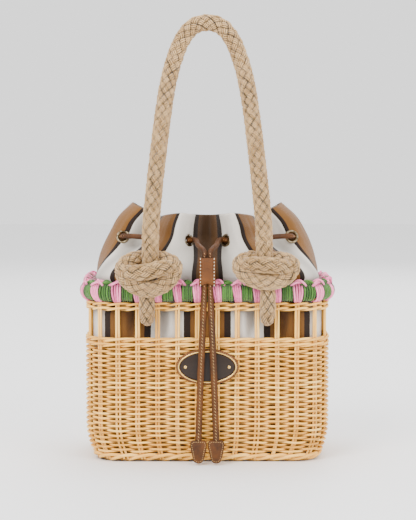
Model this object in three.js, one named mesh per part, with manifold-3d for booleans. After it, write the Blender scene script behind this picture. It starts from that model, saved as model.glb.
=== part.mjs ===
import * as THREE from "three";
import { mergeVertices } from "three/addons/utils/BufferGeometryUtils.js";
import Module from "manifold-3d";

const wasm = await Module();
wasm.setup();

// A straw basket bag in millimetres, +Z up, its front towards -Y.
// The origin is the middle of the foot that it stands on.

const TOUCH = 0.3; // gap between pieces that touch
const FRONT = -1; // the bag's front is on the -Y side

const basket = {
  width: 254,
  depth: 158,
  cornerRadius: 39,
  height: 130,
  wall: 7.6,
  floor: 6,
  footHeight: 10,
  footInset: 11, // how far the foot stands in from the widest outline
  roundingHeight: 40, // the wall reaches its full width here
  waleHeight: 11, // the raised band that ends the close weave
  waleRelief: 0.8,
  facets: 48,
};

const openwork = {
  stakePairs: 36,
  stake: 2.6,
  pairWidth: 5.2,
  windowHeight: 26,
  waleHeight: 9.6,
  facets: 48,
};

const rim = { thickness: 18.6, relief: 0.35, sides: 8 };

const pouch = {
  cloth: 1.8,
  slack: 0.8, // room between the cloth and the basket
  topHeight: 265, // at the ears, the highest points of the top edge
  backDrop: 5, // the back of the top edge is this much lower
  facets: 48,
};

// The hollow in the cloth behind each of the rope's turns.
const hollow = { reach: 24, fade: 24, above: 12 };

const eyelet = { count: 12, hole: 9.2, across: 15.4, thick: 2.6, belowTop: 27, facets: 10 };

// pastEyelet is how far the cord stands off an eyelet, slant how far it moves along while inside it.
const cord = { diameter: 5.4, sides: 8, roomInSleeve: 0.5, pastEyelet: 1, slant: 2.4 };

const slider = { width: 17, height: 29, wall: 1.4, rounding: 2.4, innerRounding: 2, bottom: 183 };

const tail = { spread: 9, tipTop: 26, bow: 0.8 };

const tip = { width: 16.9, height: 24, thick: 4 };

const rope = { diameter: 18.6, sides: 8, knotAside: -1.7, windowsOut: 3 };

const handle = { top: 454, topOut: 12.5 }; // the middle of the rope at the top of the arch

const patch = { width: 64, height: 37, leather: 2.2, plate: 1, plateInset: 4.2, frame: 1.8, belowWale: 0.5 };

const rivet = { across: 3.4, thick: 1, inset: 2.1 };

// Heights that follow from the sizes above.
const midRounding = (basket.footHeight + basket.roundingHeight) * 0.45;
const openworkBottom = basket.height + TOUCH;
const windowTop = openworkBottom + openwork.windowHeight;
const openworkTop = windowTop + openwork.waleHeight;
const rimRadius = rim.thickness / 2;
const rimCentre = openworkTop + TOUCH + rimRadius + rim.relief;
const rimTop = rimCentre + rimRadius;
const stakeLine = -basket.wall / 2; // the stakes and the rim follow the middle of the wall
const rimLineFront = FRONT * (basket.depth / 2 + stakeLine);
const rimFront = rimLineFront + FRONT * (rimRadius + rim.relief);
const pouchInRim = stakeLine - rimRadius - rim.relief - pouch.slack;
const patchCentre = basket.height - basket.waleHeight - patch.belowWale - patch.height / 2;
const lap = (rim.thickness + rope.diameter) / 2; // from the rim's middle to the rope's where they touch

// The cloth's folds round a quarter of the mouth, front to side, drawn in by the cord.
// across and out are shares of the half width and half depth, height a share of the top height.
const folds = [
  { place: "front_valley", across: 0, out: 0.36, height: 0.955 },
  { place: "first_eyelet", across: 0.18, out: 0.66, height: 0.96 },
  { place: "front_ridge", across: 0.35, out: 0.97, height: 0.967 },
  { place: "second_eyelet", across: 0.515, out: 0.66, height: 0.96 },
  { place: "side_valley", across: 0.65, out: 0.25, height: 0.953 },
  { place: "third_eyelet", across: 0.855, out: 0.43, height: 0.975 },
  { place: "ear", across: 1, out: 0, height: 1 },
];

// The cloth above the rim. up is the share of the way from the rim to the top edge,
// width and depth are shares of the cloth's size in the rim, drawn is how far the folds are made.
const rise = [
  { up: 0, width: 1, depth: 1, drawn: 0 },
  { up: 0.14, width: 1.032, depth: 1.05, drawn: 0.02 },
  { up: 0.32, width: 1.018, depth: 1.06, drawn: 0.28 },
  { up: 0.5, width: 0.972, depth: 1, drawn: 0.74 },
  { up: 0.66, width: 0.912, depth: 0.94, drawn: 1 },
  { up: 0.84, width: 0.83, depth: 0.95, drawn: 1 },
  { up: 1, width: 0.73, depth: 0.97, drawn: 0.96 },
];

// The rope's way from the knot's top down the front of the rim, in through a window, up behind
// the rim and over it. out is forwards of the rim's middle line and up is above its top, both as
// shares of lap, and so is aside. thick is a share of the rope's diameter.
const turn = [
  { aside: -0.18, out: 0.59, up: 2.15, thick: 1 },
  { aside: -0.18, out: 0.67, up: 1.61, thick: 1 },
  { aside: -0.16, out: 0.72, up: 0.97, thick: 0.91 },
  { aside: -0.11, out: 0.81, up: 0.27, thick: 0.86 },
  { aside: 0, out: 0.98, up: -0.43, thick: 0.86 },
  { aside: 0, out: 0.91, up: -0.97, thick: 0.86 },
  { aside: 0, out: 0.71, up: -1.45, thick: 0.81 },
  { aside: 0, out: 0.48, up: -1.88, thick: 0.7 },
  { aside: 0, out: 0, up: -2.02, thick: 0.64 },
  { aside: 0, out: -0.43, up: -1.86, thick: 0.64 },
  { aside: 0, out: -0.78, up: -1.4, thick: 0.64 },
  { aside: 0, out: -0.9, up: -0.52, thick: 0.64 },
  { aside: 0, out: -0.65, up: 0.27, thick: 0.68 },
  { aside: 0, out: -0.11, up: 0.63, thick: 0.75 },
  { aside: -0.05, out: 0.38, up: 0.75, thick: 0.81 },
];
const turnBehindRim = 11; // the row of the turn that is level with the rim, inside the bag

// The loop of each knot, and the bight across its front, left to right, as shares of lap.
const loop = [
  { along: 0, out: 1.32, upLeft: -0.24, upRight: 0.16 },
  { along: 0.75, out: 1.21, upLeft: -0.03, upRight: 0.27 },
  { along: 1.29, out: 0.97, upLeft: 0.48, upRight: 0.65 },
  { along: 1.4, out: 0.65, upLeft: 0.97, upRight: 1.08 },
  { along: 0.91, out: 0.27, upLeft: 1.29, upRight: 1.29 },
  { along: 0, out: -0.05, upLeft: 1.34, upRight: 1.29 },
  { along: -0.91, out: 0.27, upLeft: 1.29, upRight: 1.34 },
  { along: -1.4, out: 0.65, upLeft: 0.91, upRight: 1.13 },
  { along: -1.29, out: 0.97, upLeft: 0.43, upRight: 0.7 },
  { along: -0.75, out: 1.21, upLeft: -0.05, upRight: 0.32 },
];
const bight = [
  { along: -1.24, out: 0.81, upLeft: 0.59, upRight: 0.97 },
  { along: -0.7, out: 1.34, upLeft: 0.65, upRight: 1.24 },
  { along: 0, out: 1.56, upLeft: 0.75, upRight: 1.4 },
  { along: 0.7, out: 1.4, upLeft: 0.91, upRight: 1.24 },
  { along: 1.24, out: 0.81, upLeft: 0.91, upRight: 0.91 },
];
const knotMiddle = { out: 0.7, up: 0.6 };
const knotRope = 0.957; // the rope is drawn a little thinner in the knots

// The handle's right half, from just over the knot to the top of the arch. half is a share of the
// knot's half spread, out and up are shares of the way between the knot and the top.
const arch = [
  { half: 0.99, out: 0.96, up: 0.087 },
  { half: 0.952, out: 0.908, up: 0.196 },
  { half: 0.917, out: 0.848, up: 0.288 },
  { half: 0.872, out: 0.753, up: 0.393 },
  { half: 0.824, out: 0.631, up: 0.502 },
  { half: 0.77, out: 0.502, up: 0.611 },
  { half: 0.702, out: 0.36, up: 0.72 },
  { half: 0.599, out: 0.217, up: 0.825 },
  { half: 0.439, out: 0.095, up: 0.926 },
  { half: 0.235, out: 0.023, up: 0.985 },
];

// How many straight steps each curved tube is made of.
const steps = { drawstring: 60, tail: 8, handle: 34, turn: 18, turnSplit: 14, loop: 12, bight: 6 };

const finishes = {
  straw: { color: 0xd9a766, roughness: 0.62, metalness: 0 },
  canvas: { color: 0xa9773f, roughness: 0.9, metalness: 0 },
  raffia: { color: 0x5f9a3d, roughness: 0.7, metalness: 0 },
  rope: { color: 0xc8b290, roughness: 0.88, metalness: 0 },
  brownLeather: { color: 0x7a4a26, roughness: 0.55, metalness: 0 },
  tanLeather: { color: 0x9a6233, roughness: 0.55, metalness: 0 },
  metal: { color: 0xb9b3a3, roughness: 0.32, metalness: 0.9 },
  brass: { color: 0xb98f47, roughness: 0.35, metalness: 0.9 },
  enamel: { color: 0x17120f, roughness: 0.3, metalness: 0 },
};

const mix = (a, b, share) => a + (b - a) * share;
const smooth = (share) => share * share * (3 - 2 * share);
const clamp01 = (value) => Math.min(1, Math.max(0, value));

// A column of a table at a place along another column, which rises from row to row.
function lookUp(table, along, column, value) {
  const last = table.length - 1;
  let row = 0;
  while (row < last - 1 && value > table[row + 1][along]) row += 1;
  const [low, high] = [table[row], table[row + 1]];
  return mix(low[column], high[column], clamp01((value - low[along]) / (high[along] - low[along])));
}

// A point of a rounded rectangle, turn being the share of the way round from the middle of the front.
function onOutline(halfWidth, halfDepth, radius, turn) {
  const straightX = halfWidth - radius;
  const straightY = halfDepth - radius;
  const arc = (radius * Math.PI) / 2;
  const quarters = (turn - Math.floor(turn)) * 4;
  const quarter = Math.floor(quarters);
  const share = quarter % 2 ? quarter + 1 - quarters : quarters - quarter;
  const way = share * (straightX + arc + straightY);
  const side = quarter < 2 ? 1 : -1;
  const face = quarter === 0 || quarter === 3 ? 1 : -1;
  const angle = clamp01((way - straightX) / arc) * (Math.PI / 2);
  const x = Math.min(way, straightX) + radius * Math.sin(angle);
  const y = straightY + radius * Math.cos(angle) - Math.max(0, way - straightX - arc);
  return {
    x: side * x,
    y: FRONT * face * y,
    normalX: side * Math.sin(angle),
    normalY: FRONT * face * Math.cos(angle),
  };
}

// The basket's widest outline, moved outwards by offset.
function basketOutline(offset, turn) {
  return onOutline(basket.width / 2 + offset, basket.depth / 2 + offset, basket.cornerRadius + offset, turn);
}

// How far the basket's outer face stands in from its widest outline at a height.
function insetAt(height) {
  return basket.footInset * (1 - clamp01(height / basket.roundingHeight)) ** 2;
}

// One ring of points round the bag at an offset and height.
function ringAt(offset, height, facets) {
  return Array.from({ length: facets }, (_, i) => {
    const place = basketOutline(offset, i / facets);
    return new THREE.Vector3(place.x, place.y, height);
  });
}

// Six times the volume of a triangle mesh, negative when its faces point inwards.
function signedVolume(positions, faces) {
  const [a, b, c] = [new THREE.Vector3(), new THREE.Vector3(), new THREE.Vector3()];
  let volume = 0;
  for (let i = 0; i < faces.length; i += 3) {
    a.fromArray(positions, faces[i] * 3);
    b.fromArray(positions, faces[i + 1] * 3);
    c.fromArray(positions, faces[i + 2] * 3);
    volume += a.dot(b.cross(c));
  }
  return volume;
}

// A closed body through rings of points: either the last ring joins the first, or both ends are capped.
function loft(rings, joined) {
  const count = rings[0].length;
  const positions = rings.flat().flatMap((point) => point.toArray());
  const faces = [];
  const bands = joined ? rings.length : rings.length - 1;
  for (let band = 0; band < bands; band += 1) {
    const low = band * count;
    const high = ((band + 1) % rings.length) * count;
    for (let i = 0; i < count; i += 1) {
      const next = (i + 1) % count;
      faces.push(low + i, low + next, high + next, low + i, high + next, high + i);
    }
  }
  if (!joined) {
    for (const [start, order] of [[0, [0, 2, 1]], [(rings.length - 1) * count, [0, 1, 2]]]) {
      const middle = positions.length / 3;
      const centre = new THREE.Vector3();
      for (let i = 0; i < count; i += 1) centre.add(new THREE.Vector3().fromArray(positions, (start + i) * 3));
      positions.push(...centre.divideScalar(count).toArray());
      for (let i = 0; i < count; i += 1) {
        const corner = [middle, start + i, start + ((i + 1) % count)];
        faces.push(...order.map((k) => corner[k]));
      }
    }
  }
  if (signedVolume(positions, faces) < 0) {
    for (let i = 0; i < faces.length; i += 3) [faces[i + 1], faces[i + 2]] = [faces[i + 2], faces[i + 1]];
  }
  const geometry = new THREE.BufferGeometry();
  geometry.setAttribute("position", new THREE.Float32BufferAttribute(positions, 3));
  geometry.setIndex(faces);
  return geometry;
}

function toSolid(geometry) {
  const bare = geometry.clone();
  bare.deleteAttribute("normal");
  bare.deleteAttribute("uv");
  const merged = mergeVertices(bare, 1e-4);
  return new wasm.Manifold(
    new wasm.Mesh({
      numProp: 3,
      vertProperties: new Float32Array(merged.attributes.position.array),
      triVerts: new Uint32Array(merged.index.array),
    }),
  );
}

function toGeometry(solid) {
  const { vertProperties, triVerts } = solid.getMesh();
  const geometry = new THREE.BufferGeometry();
  geometry.setAttribute("position", new THREE.BufferAttribute(vertProperties, 3));
  geometry.setIndex(new THREE.BufferAttribute(triVerts, 1));
  return geometry;
}

// A tube of round sections of changing thickness; facing gives the way that its first corner points.
function tubeAlong(points, steps, sides, facing, closed = false) {
  const curve = new THREE.CatmullRomCurve3(points.map((p) => p.at), closed);
  const thickness = (share) => {
    const place = share * (closed ? points.length : points.length - 1);
    const row = Math.floor(place);
    const next = closed ? (row + 1) % points.length : Math.min(row + 1, points.length - 1);
    return mix(points[row % points.length].thick, points[next].thick, place - row);
  };
  const rings = Array.from({ length: closed ? steps : steps + 1 }, (_, i) => {
    const share = i / steps;
    const centre = curve.getPoint(share);
    const along = curve.getTangent(share);
    const first = facing(centre).addScaledVector(along, -facing(centre).dot(along)).normalize();
    const second = new THREE.Vector3().crossVectors(along, first);
    return Array.from({ length: sides }, (_, k) => {
      const angle = (k / sides) * Math.PI * 2;
      const radius = thickness(share) / 2;
      return centre
        .clone()
        .addScaledVector(first, radius * Math.cos(angle))
        .addScaledVector(second, radius * Math.sin(angle));
    });
  });
  return rings;
}

// A round cord along a curve, as an extruded polygon.
function extrudeAlong(points, diameter, sides, steps) {
  const section = new THREE.Shape(
    Array.from({ length: sides }, (_, k) => {
      const angle = (k / sides) * Math.PI * 2;
      return new THREE.Vector2((diameter / 2) * Math.cos(angle), (diameter / 2) * Math.sin(angle));
    }),
  );
  const path = new THREE.CatmullRomCurve3(points);
  return new THREE.ExtrudeGeometry(section, { steps, extrudePath: path, bevelEnabled: false });
}

const bag = new THREE.Group();

function addPiece(name, geometry, finish) {
  geometry.computeVertexNormals();
  const mesh = new THREE.Mesh(geometry, new THREE.MeshStandardMaterial(finishes[finish]));
  mesh.name = name;
  bag.add(mesh);
}

function addFloorAndFoot() {
  const { facets, footHeight, wall, floor } = basket;
  const inside = -wall - TOUCH * 2;
  const slab = [0, floor].map((height) => ringAt(inside - insetAt(0), height, facets));
  addPiece("basket_base", loft(slab, false), "straw");
  const foot = [
    ringAt(-insetAt(0), 0, facets),
    ringAt(-insetAt(footHeight), footHeight, facets),
    ringAt(-insetAt(footHeight) - wall, footHeight, facets),
    ringAt(-insetAt(0) - wall, 0, facets),
  ];
  addPiece("foot_wale", loft(foot, true), "straw");
}

function addWall() {
  const { facets, footHeight, wall, height, waleHeight, waleRelief, roundingHeight } = basket;
  const bottom = footHeight + TOUCH;
  const curved = [bottom, midRounding, roundingHeight];
  const rings = [...curved, height - waleHeight].map((level) => ringAt(-insetAt(level), level, facets));
  rings.push(ringAt(waleRelief, height - waleHeight + waleRelief, facets));
  rings.push(ringAt(waleRelief, height, facets));
  for (const level of [height, ...curved.reverse()]) {
    rings.push(ringAt(-insetAt(level) - wall, level, facets));
  }
  addPiece("basket_wall", loft(rings, true), "straw");
}

function addOpenwork() {
  const { stakePairs, stake, pairWidth, facets } = openwork;
  const { wall, waleRelief } = basket;
  let solid = toSolid(
    loft(
      [
        ringAt(waleRelief, windowTop, facets),
        ringAt(waleRelief, openworkTop, facets),
        ringAt(-wall, openworkTop, facets),
        ringAt(-wall, windowTop, facets),
      ],
      true,
    ),
  );
  const top = mix(windowTop, openworkTop, 0.5);
  for (let i = 0; i < stakePairs; i += 1) {
    const place = basketOutline(stakeLine, (i + 0.5) / stakePairs);
    const pair = new THREE.BoxGeometry(pairWidth, stake, top - openworkBottom);
    pair.rotateZ(Math.atan2(place.normalY, place.normalX) + Math.PI / 2);
    pair.translate(place.x, place.y, (openworkBottom + top) / 2);
    solid = solid.add(toSolid(pair));
  }
  addPiece("openwork_band", toGeometry(solid), "straw");
}

function addRim() {
  const bands = openwork.stakePairs * 2;
  const evenRadius = Math.sqrt(1 / Math.cos(Math.PI / rim.sides)); // sides and corners both near the round
  const rings = Array.from({ length: bands }, (_, i) => {
    const place = basketOutline(stakeLine, (i + 0.5) / bands);
    const radius = (rimRadius + (i % 2 ? rim.relief : 0)) * evenRadius;
    return Array.from({ length: rim.sides }, (_, k) => {
      const angle = ((k + 0.5) / rim.sides) * Math.PI * 2;
      const out = radius * Math.cos(angle);
      const height = rimCentre + radius * Math.sin(angle);
      return new THREE.Vector3(place.x + place.normalX * out, place.y + place.normalY * out, height);
    });
  });
  addPiece("rim_roll", loft(rings, true), "raffia");
}

const foldCurve = new THREE.CatmullRomCurve3(
  Array.from({ length: 24 }, (_, i) => {
    const quarter = Math.floor(i / 6);
    const row = folds[quarter % 2 ? (quarter + 1) * 6 - i : i - quarter * 6];
    const side = quarter < 2 ? 1 : -1;
    const face = quarter === 0 || quarter === 3 ? FRONT : -FRONT;
    return new THREE.Vector3(side * row.across, face * row.out, row.height);
  }),
  true,
  "catmullrom",
  0.5,
);

// How high the cloth's top edge is.
function topEdge(turn) {
  const back = (1 - Math.cos(turn * Math.PI * 2)) / 2;
  return foldCurve.getPoint(turn).z * pouch.topHeight - pouch.backDrop * back ** 2;
}

// Where each rope's turn goes in through a window, which is a whole number of windows from the middle.
const windowX = (side) => basketOutline(stakeLine, (side * rope.windowsOut) / openwork.stakePairs).x;

const knotX = (side) => side * (windowX(1) + rope.knotAside);

// The cloth's y after it gives way to the rope's turns, which pass between it and the rim.
function giveWay(x, y, height) {
  const behind = turn[turnBehindRim];
  const clearY = rimLineFront + FRONT * (behind.out * lap - (behind.thick * rope.diameter) / 2 - TOUCH);
  if (y * FRONT <= clearY * FRONT) return y;
  const near = clamp01(1 - Math.abs(Math.abs(x) - windowX(1)) / hollow.reach);
  const sideways = (1 - (1 - near) ** 4) ** 2;
  const below = smooth(clamp01((height - basket.height + hollow.fade / 2) / hollow.fade));
  const above = smooth(clamp01((rimTop + hollow.above + hollow.fade - height) / hollow.fade));
  return mix(y, clearY, sideways * below * above);
}

// A point on the outside of the cloth inside the basket, at a height.
function clothInBasket(turn, height) {
  const free = -basket.wall - pouch.slack - insetAt(height);
  const up = smooth(clamp01((height - windowTop) / (openworkTop - windowTop)));
  const place = basketOutline(mix(free, pouchInRim, up), turn);
  return new THREE.Vector3(place.x, giveWay(place.x, place.y, height), height);
}

// A point on the outside of the cloth above the rim, up being the share of the way to the top edge.
function clothAboveRim(turn, up) {
  const height = mix(rimCentre + rimRadius / 2, topEdge(turn), up);
  const halfWidth = (basket.width / 2 + pouchInRim) * lookUp(rise, "up", "width", up);
  const halfDepth = (basket.depth / 2 + pouchInRim) * lookUp(rise, "up", "depth", up);
  const place = onOutline(halfWidth, halfDepth, basket.cornerRadius + pouchInRim, turn);
  const fold = foldCurve.getPoint(turn - Math.floor(turn));
  const drawn = lookUp(rise, "up", "drawn", up);
  const x = mix(place.x, fold.x * halfWidth, drawn);
  const y = mix(place.y, fold.y * halfDepth, drawn);
  return new THREE.Vector3(x, giveWay(x, y, height), height);
}

// The cloth's outward normal above the rim.
function clothNormal(turn, up) {
  const step = 0.004;
  const ahead = clothAboveRim(turn + step, up).sub(clothAboveRim(turn - step, up));
  const upwards = clothAboveRim(turn, Math.min(1, up + step)).sub(clothAboveRim(turn, up - step));
  return ahead.cross(upwards).normalize();
}

const levelsInBasket = [
  basket.floor + TOUCH * 2,
  midRounding,
  basket.height - basket.waleHeight,
  windowTop - openwork.waleHeight,
  openworkTop,
];
const clothLevels = [
  ...levelsInBasket.map((height) => ({ at: (turn) => clothInBasket(turn, height) })),
  ...rise.map((row) => ({ at: (turn) => clothAboveRim(turn, row.up) })),
];

function clothRings() {
  const turns = Array.from({ length: pouch.facets }, (_, i) => i / pouch.facets);
  const outside = clothLevels.map((level) => turns.map(level.at));
  const inside = clothLevels.map((level, row) =>
    turns.map((turn, i) => {
      const count = turns.length;
      const along = outside[row][(i + 1) % count].clone().sub(outside[row][(i + count - 1) % count]);
      const inwards = new THREE.Vector3(-along.y, along.x, 0).normalize();
      const lift = row === 0 ? pouch.cloth : 0;
      return outside[row][i].clone().addScaledVector(inwards, pouch.cloth).add(new THREE.Vector3(0, 0, lift));
    }),
  );
  return [...outside, ...inside.reverse()];
}

// Where each eyelet sits: the middle of the cloth's thickness, and the way it faces.
const eyeletPlaces = Array.from({ length: eyelet.count }, (_, i) => {
  const turn = (i + 0.5) / eyelet.count;
  const low = rimCentre + rimRadius / 2;
  const up = 1 - eyelet.belowTop / (topEdge(turn) - low);
  const normal = clothNormal(turn, up);
  const at = clothAboveRim(turn, up).addScaledVector(normal, -pouch.cloth / 2);
  return { at, normal };
});

// Turns a shape that lies flat, facing +Z, to face along a normal at a place.
function face(geometry, place) {
  const turnTo = new THREE.Quaternion().setFromUnitVectors(new THREE.Vector3(0, 0, 1), place.normal);
  return geometry.applyQuaternion(turnTo).translate(place.at.x, place.at.y, place.at.z);
}

function addPouch() {
  let solid = toSolid(loft(clothRings(), false));
  for (const place of eyeletPlaces) {
    const drill = new THREE.CylinderGeometry(
      eyelet.across / 2 + TOUCH,
      eyelet.across / 2 + TOUCH,
      eyelet.thick * 3,
      eyelet.facets,
    ).rotateX(Math.PI / 2);
    solid = solid.subtract(toSolid(face(drill, place)));
  }
  addPiece("pouch", toGeometry(solid), "canvas");
}

function addEyelets() {
  const half = eyelet.thick / 2;
  const profile = [
    [eyelet.hole / 2, -half],
    [eyelet.across / 2, -half],
    [eyelet.across / 2, half],
    [eyelet.hole / 2, half],
    [eyelet.hole / 2, -half],
  ].map(([radius, up]) => new THREE.Vector2(radius, up));
  eyeletPlaces.forEach((place, i) => {
    const ring = new THREE.LatheGeometry(profile, eyelet.facets).rotateX(Math.PI / 2);
    addPiece(`eyelet_${String(i + 1).padStart(2, "0")}`, face(ring, place), "metal");
  });
}

const cordRadius = cord.diameter / 2;
const sleeve = {
  hollowWidth: cord.diameter * 2 + cord.roomInSleeve * 3,
  hollowDepth: cord.diameter + cord.roomInSleeve * 2,
};
const sleeveDepth = sleeve.hollowDepth + slider.wall * 2;
const sliderY = rimFront + FRONT * (TOUCH + sleeveDepth / 2);
const cordX = cordRadius + cord.roomInSleeve / 2;

// The drawstring's way: up through the sleeve, then in and out through the eyelets, right to left.
function drawstringPoints() {
  const clear = eyelet.thick / 2 + cordRadius + cord.pastEyelet;
  const top = slider.bottom + slider.height;
  const points = [];
  const heights = [slider.bottom + TOUCH, mix(slider.bottom, top, 0.55), top, top + cord.diameter];
  for (const height of heights) points.push(new THREE.Vector3(cordX, sliderY, height));
  const first = eyeletPlaces[0].at;
  const [x, y, z] = [mix(cordX, first.x, 0.35), mix(sliderY, first.y, 0.3), mix(top, first.z, 0.75)];
  points.push(new THREE.Vector3(x, y, z));
  eyeletPlaces.forEach((place, i) => {
    const inwards = i % 2 ? 1 : -1; // the cord goes in at the first eyelet and out at the second
    const before = eyeletPlaces[(i + eyelet.count - 1) % eyelet.count].at;
    const after = eyeletPlaces[(i + 1) % eyelet.count].at;
    const along = after.clone().sub(before);
    along.addScaledVector(place.normal, -along.dot(place.normal)).normalize();
    for (const step of [-1, 1]) {
      points.push(
        place.at
          .clone()
          .addScaledVector(place.normal, inwards * step * clear)
          .addScaledVector(along, step * cord.slant),
      );
    }
  });
  points.push(new THREE.Vector3(-x, y, z));
  for (const height of heights.reverse()) points.push(new THREE.Vector3(-cordX, sliderY, height));
  return points;
}

function addDrawstring() {
  const tube = extrudeAlong(drawstringPoints(), cord.diameter, cord.sides, steps.drawstring);
  addPiece("drawstring", tube, "brownLeather");
}

function roundedShape(width, depth, radius, Kind = THREE.Shape) {
  const shape = new Kind();
  const [x, y] = [width / 2 - radius, depth / 2 - radius];
  shape.absarc(x, y, radius, 0, Math.PI / 2);
  shape.absarc(-x, y, radius, Math.PI / 2, Math.PI);
  shape.absarc(-x, -y, radius, Math.PI, Math.PI * 1.5);
  shape.absarc(x, -y, radius, Math.PI * 1.5, Math.PI * 2);
  return shape;
}

function addSlider() {
  const { width, rounding, innerRounding } = slider;
  const outside = roundedShape(width, sleeveDepth, rounding);
  outside.holes.push(roundedShape(sleeve.hollowWidth, sleeve.hollowDepth, innerRounding, THREE.Path));
  const body = new THREE.ExtrudeGeometry(outside, {
    depth: slider.height,
    bevelEnabled: false,
    curveSegments: 1,
  }).translate(0, sliderY, slider.bottom);
  addPiece("cord_slider", body, "tanLeather");
}

// One hanging tail's way, from the sleeve's bottom to the top of its tip.
function tailPoints(side) {
  const rows = 7;
  return Array.from({ length: rows + 1 }, (_, i) => {
    const share = i / rows;
    const spread = mix(cordX, tail.spread, share ** 1.3);
    const bow = tail.bow * Math.sin(share * Math.PI);
    return new THREE.Vector3(side * (spread + bow), sliderY, mix(slider.bottom, tail.tipTop + TOUCH, share));
  });
}

function addTails() {
  const half = tip.width / 2;
  const outline = new THREE.Shape();
  outline.moveTo(-half * 0.72, 0);
  outline.lineTo(-half * 0.9, -tip.height * 0.25);
  outline.lineTo(-half, -tip.height * 0.62);
  outline.absarc(0, -tip.height + half * 0.86, half * 0.86, Math.PI * 1.08, Math.PI * 1.92);
  outline.lineTo(half, -tip.height * 0.62);
  outline.lineTo(half * 0.9, -tip.height * 0.25);
  outline.lineTo(half * 0.72, 0);
  for (const [word, side] of [["left", -1], ["right", 1]]) {
    const tube = extrudeAlong(tailPoints(side), cord.diameter, cord.sides, steps.tail);
    addPiece(`drawstring_tail_${word}`, tube, "brownLeather");
    const tab = new THREE.ExtrudeGeometry(outline, { depth: tip.thick, bevelEnabled: false, curveSegments: 8 });
    tab.rotateX(Math.PI / 2).translate(side * tail.spread, sliderY + tip.thick / 2, tail.tipTop);
    addPiece(`tail_tip_${word}`, tab, "brownLeather");
  }
}

// A point of a knot: aside of x, forwards of the rim's middle line and above its top, in shares of lap.
function knotPoint(x, aside, out, up) {
  return new THREE.Vector3(x + aside * lap, rimLineFront + FRONT * out * lap, rimTop + up * lap);
}

function turnPoints(side) {
  return turn.map((row) => ({
    at: knotPoint(windowX(side), side * row.aside, row.out, row.up),
    thick: row.thick * rope.diameter,
  }));
}

function knotPoints(table, side) {
  const column = side < 0 ? "upLeft" : "upRight";
  return table.map((row) => ({
    at: knotPoint(knotX(side), row.along, row.out, row[column]),
    thick: knotRope * rope.diameter,
  }));
}

function addKnots() {
  for (const [word, side] of [["left", -1], ["right", 1]]) {
    const sideways = () => new THREE.Vector3(1, 0, 0);
    const upwards = () => new THREE.Vector3(0, 0, 1);
    const centre = knotPoint(knotX(side), 0, knotMiddle.out, knotMiddle.up);
    const outwards = (point) => point.clone().sub(centre).setY(0).normalize();
    const turned = tubeAlong(turnPoints(side), steps.turn, rope.sides, sideways);
    const round = tubeAlong(knotPoints(loop, side), steps.loop, rope.sides, outwards, true);
    const across = tubeAlong(knotPoints(bight, side), steps.bight, rope.sides, upwards);
    const solid = toSolid(loft(turned.slice(0, steps.turnSplit + 1), false))
      .add(toSolid(loft(turned.slice(steps.turnSplit), false)))
      .add(toSolid(loft(round, true)))
      .add(toSolid(loft(across, false)));
    addPiece(`handle_knot_${word}`, toGeometry(solid), "rope");
  }
}

function addHandle() {
  const right = turnPoints(1);
  const away = right[0].at.clone().sub(right[1].at).normalize();
  const foot = right[0].at.clone().addScaledVector(away, TOUCH);
  const top = new THREE.Vector3(0, FRONT * handle.topOut, handle.top);
  const half = arch.map(
    (row) => new THREE.Vector3(foot.x * row.half, mix(top.y, foot.y, row.out), mix(foot.z, top.z, row.up)),
  );
  half.unshift(foot);
  const mirrored = half.map((point) => new THREE.Vector3(-point.x, point.y, point.z)).reverse();
  const geometry = extrudeAlong([...half, top, ...mirrored], rope.diameter, rope.sides, steps.handle);
  addPiece("handle_rope", geometry, "rope");
}

function ovalShape(width, height, Kind = THREE.Shape) {
  const shape = new Kind();
  shape.absellipse(0, 0, width / 2, height / 2, 0, Math.PI * 2);
  return shape;
}

// An upright slab on the basket's front, its back face at a distance from the wall.
function onFront(shape, thick, distance, segments) {
  const slab = new THREE.ExtrudeGeometry(shape, { depth: thick, bevelEnabled: false, curveSegments: segments });
  const back = FRONT * (basket.depth / 2 + distance);
  return slab.rotateX(Math.PI / 2).translate(0, back, patchCentre);
}

function addPatch() {
  const { width, height, leather, plate, plateInset, frame } = patch;
  const plateBack = TOUCH + leather + TOUCH;
  const [plateWidth, plateHeight] = [width - plateInset * 2, height - plateInset * 2];
  addPiece("patch_leather", onFront(ovalShape(width, height), leather, TOUCH, 12), "tanLeather");
  addPiece("patch_plate", onFront(ovalShape(plateWidth, plateHeight), plate, plateBack, 12), "enamel");
  const gap = TOUCH * 2;
  const band = ovalShape(plateWidth + (frame + gap) * 2, plateHeight + (frame + gap) * 2);
  band.holes.push(ovalShape(plateWidth + gap * 2, plateHeight + gap * 2, THREE.Path));
  addPiece("patch_frame", onFront(band, plate * 1.4, plateBack, 12), "brass");
  [-1, 1].forEach((side, i) => {
    const stud = new THREE.CylinderGeometry(rivet.across * 0.36, rivet.across / 2, rivet.thick, 10);
    const out = plateBack + plate + TOUCH + rivet.thick / 2;
    const x = side * (plateWidth / 2 - rivet.across - rivet.inset);
    stud.translate(x, FRONT * (basket.depth / 2 + out), patchCentre);
    addPiece(`patch_rivet_${i + 1}`, stud, "brass");
  });
}

addFloorAndFoot();
addWall();
addOpenwork();
addRim();
addPouch();
addEyelets();
addDrawstring();
addSlider();
addTails();
addHandle();
addKnots();
addPatch();

export default bag;
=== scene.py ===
"""A straw basket bag, dressed round its solids.

An oval wicker basket with a raffia-wrapped rim holds a striped canvas pouch, which a leather
drawstring gathers. One braided rope handle is knotted round the rim at both ends.
"""

import logging
import math
from collections.abc import Callable, Iterable, Sequence
from dataclasses import dataclass, field
from enum import Enum

import bmesh
import bpy
import numpy as np
from mathutils import Matrix, Vector


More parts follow.
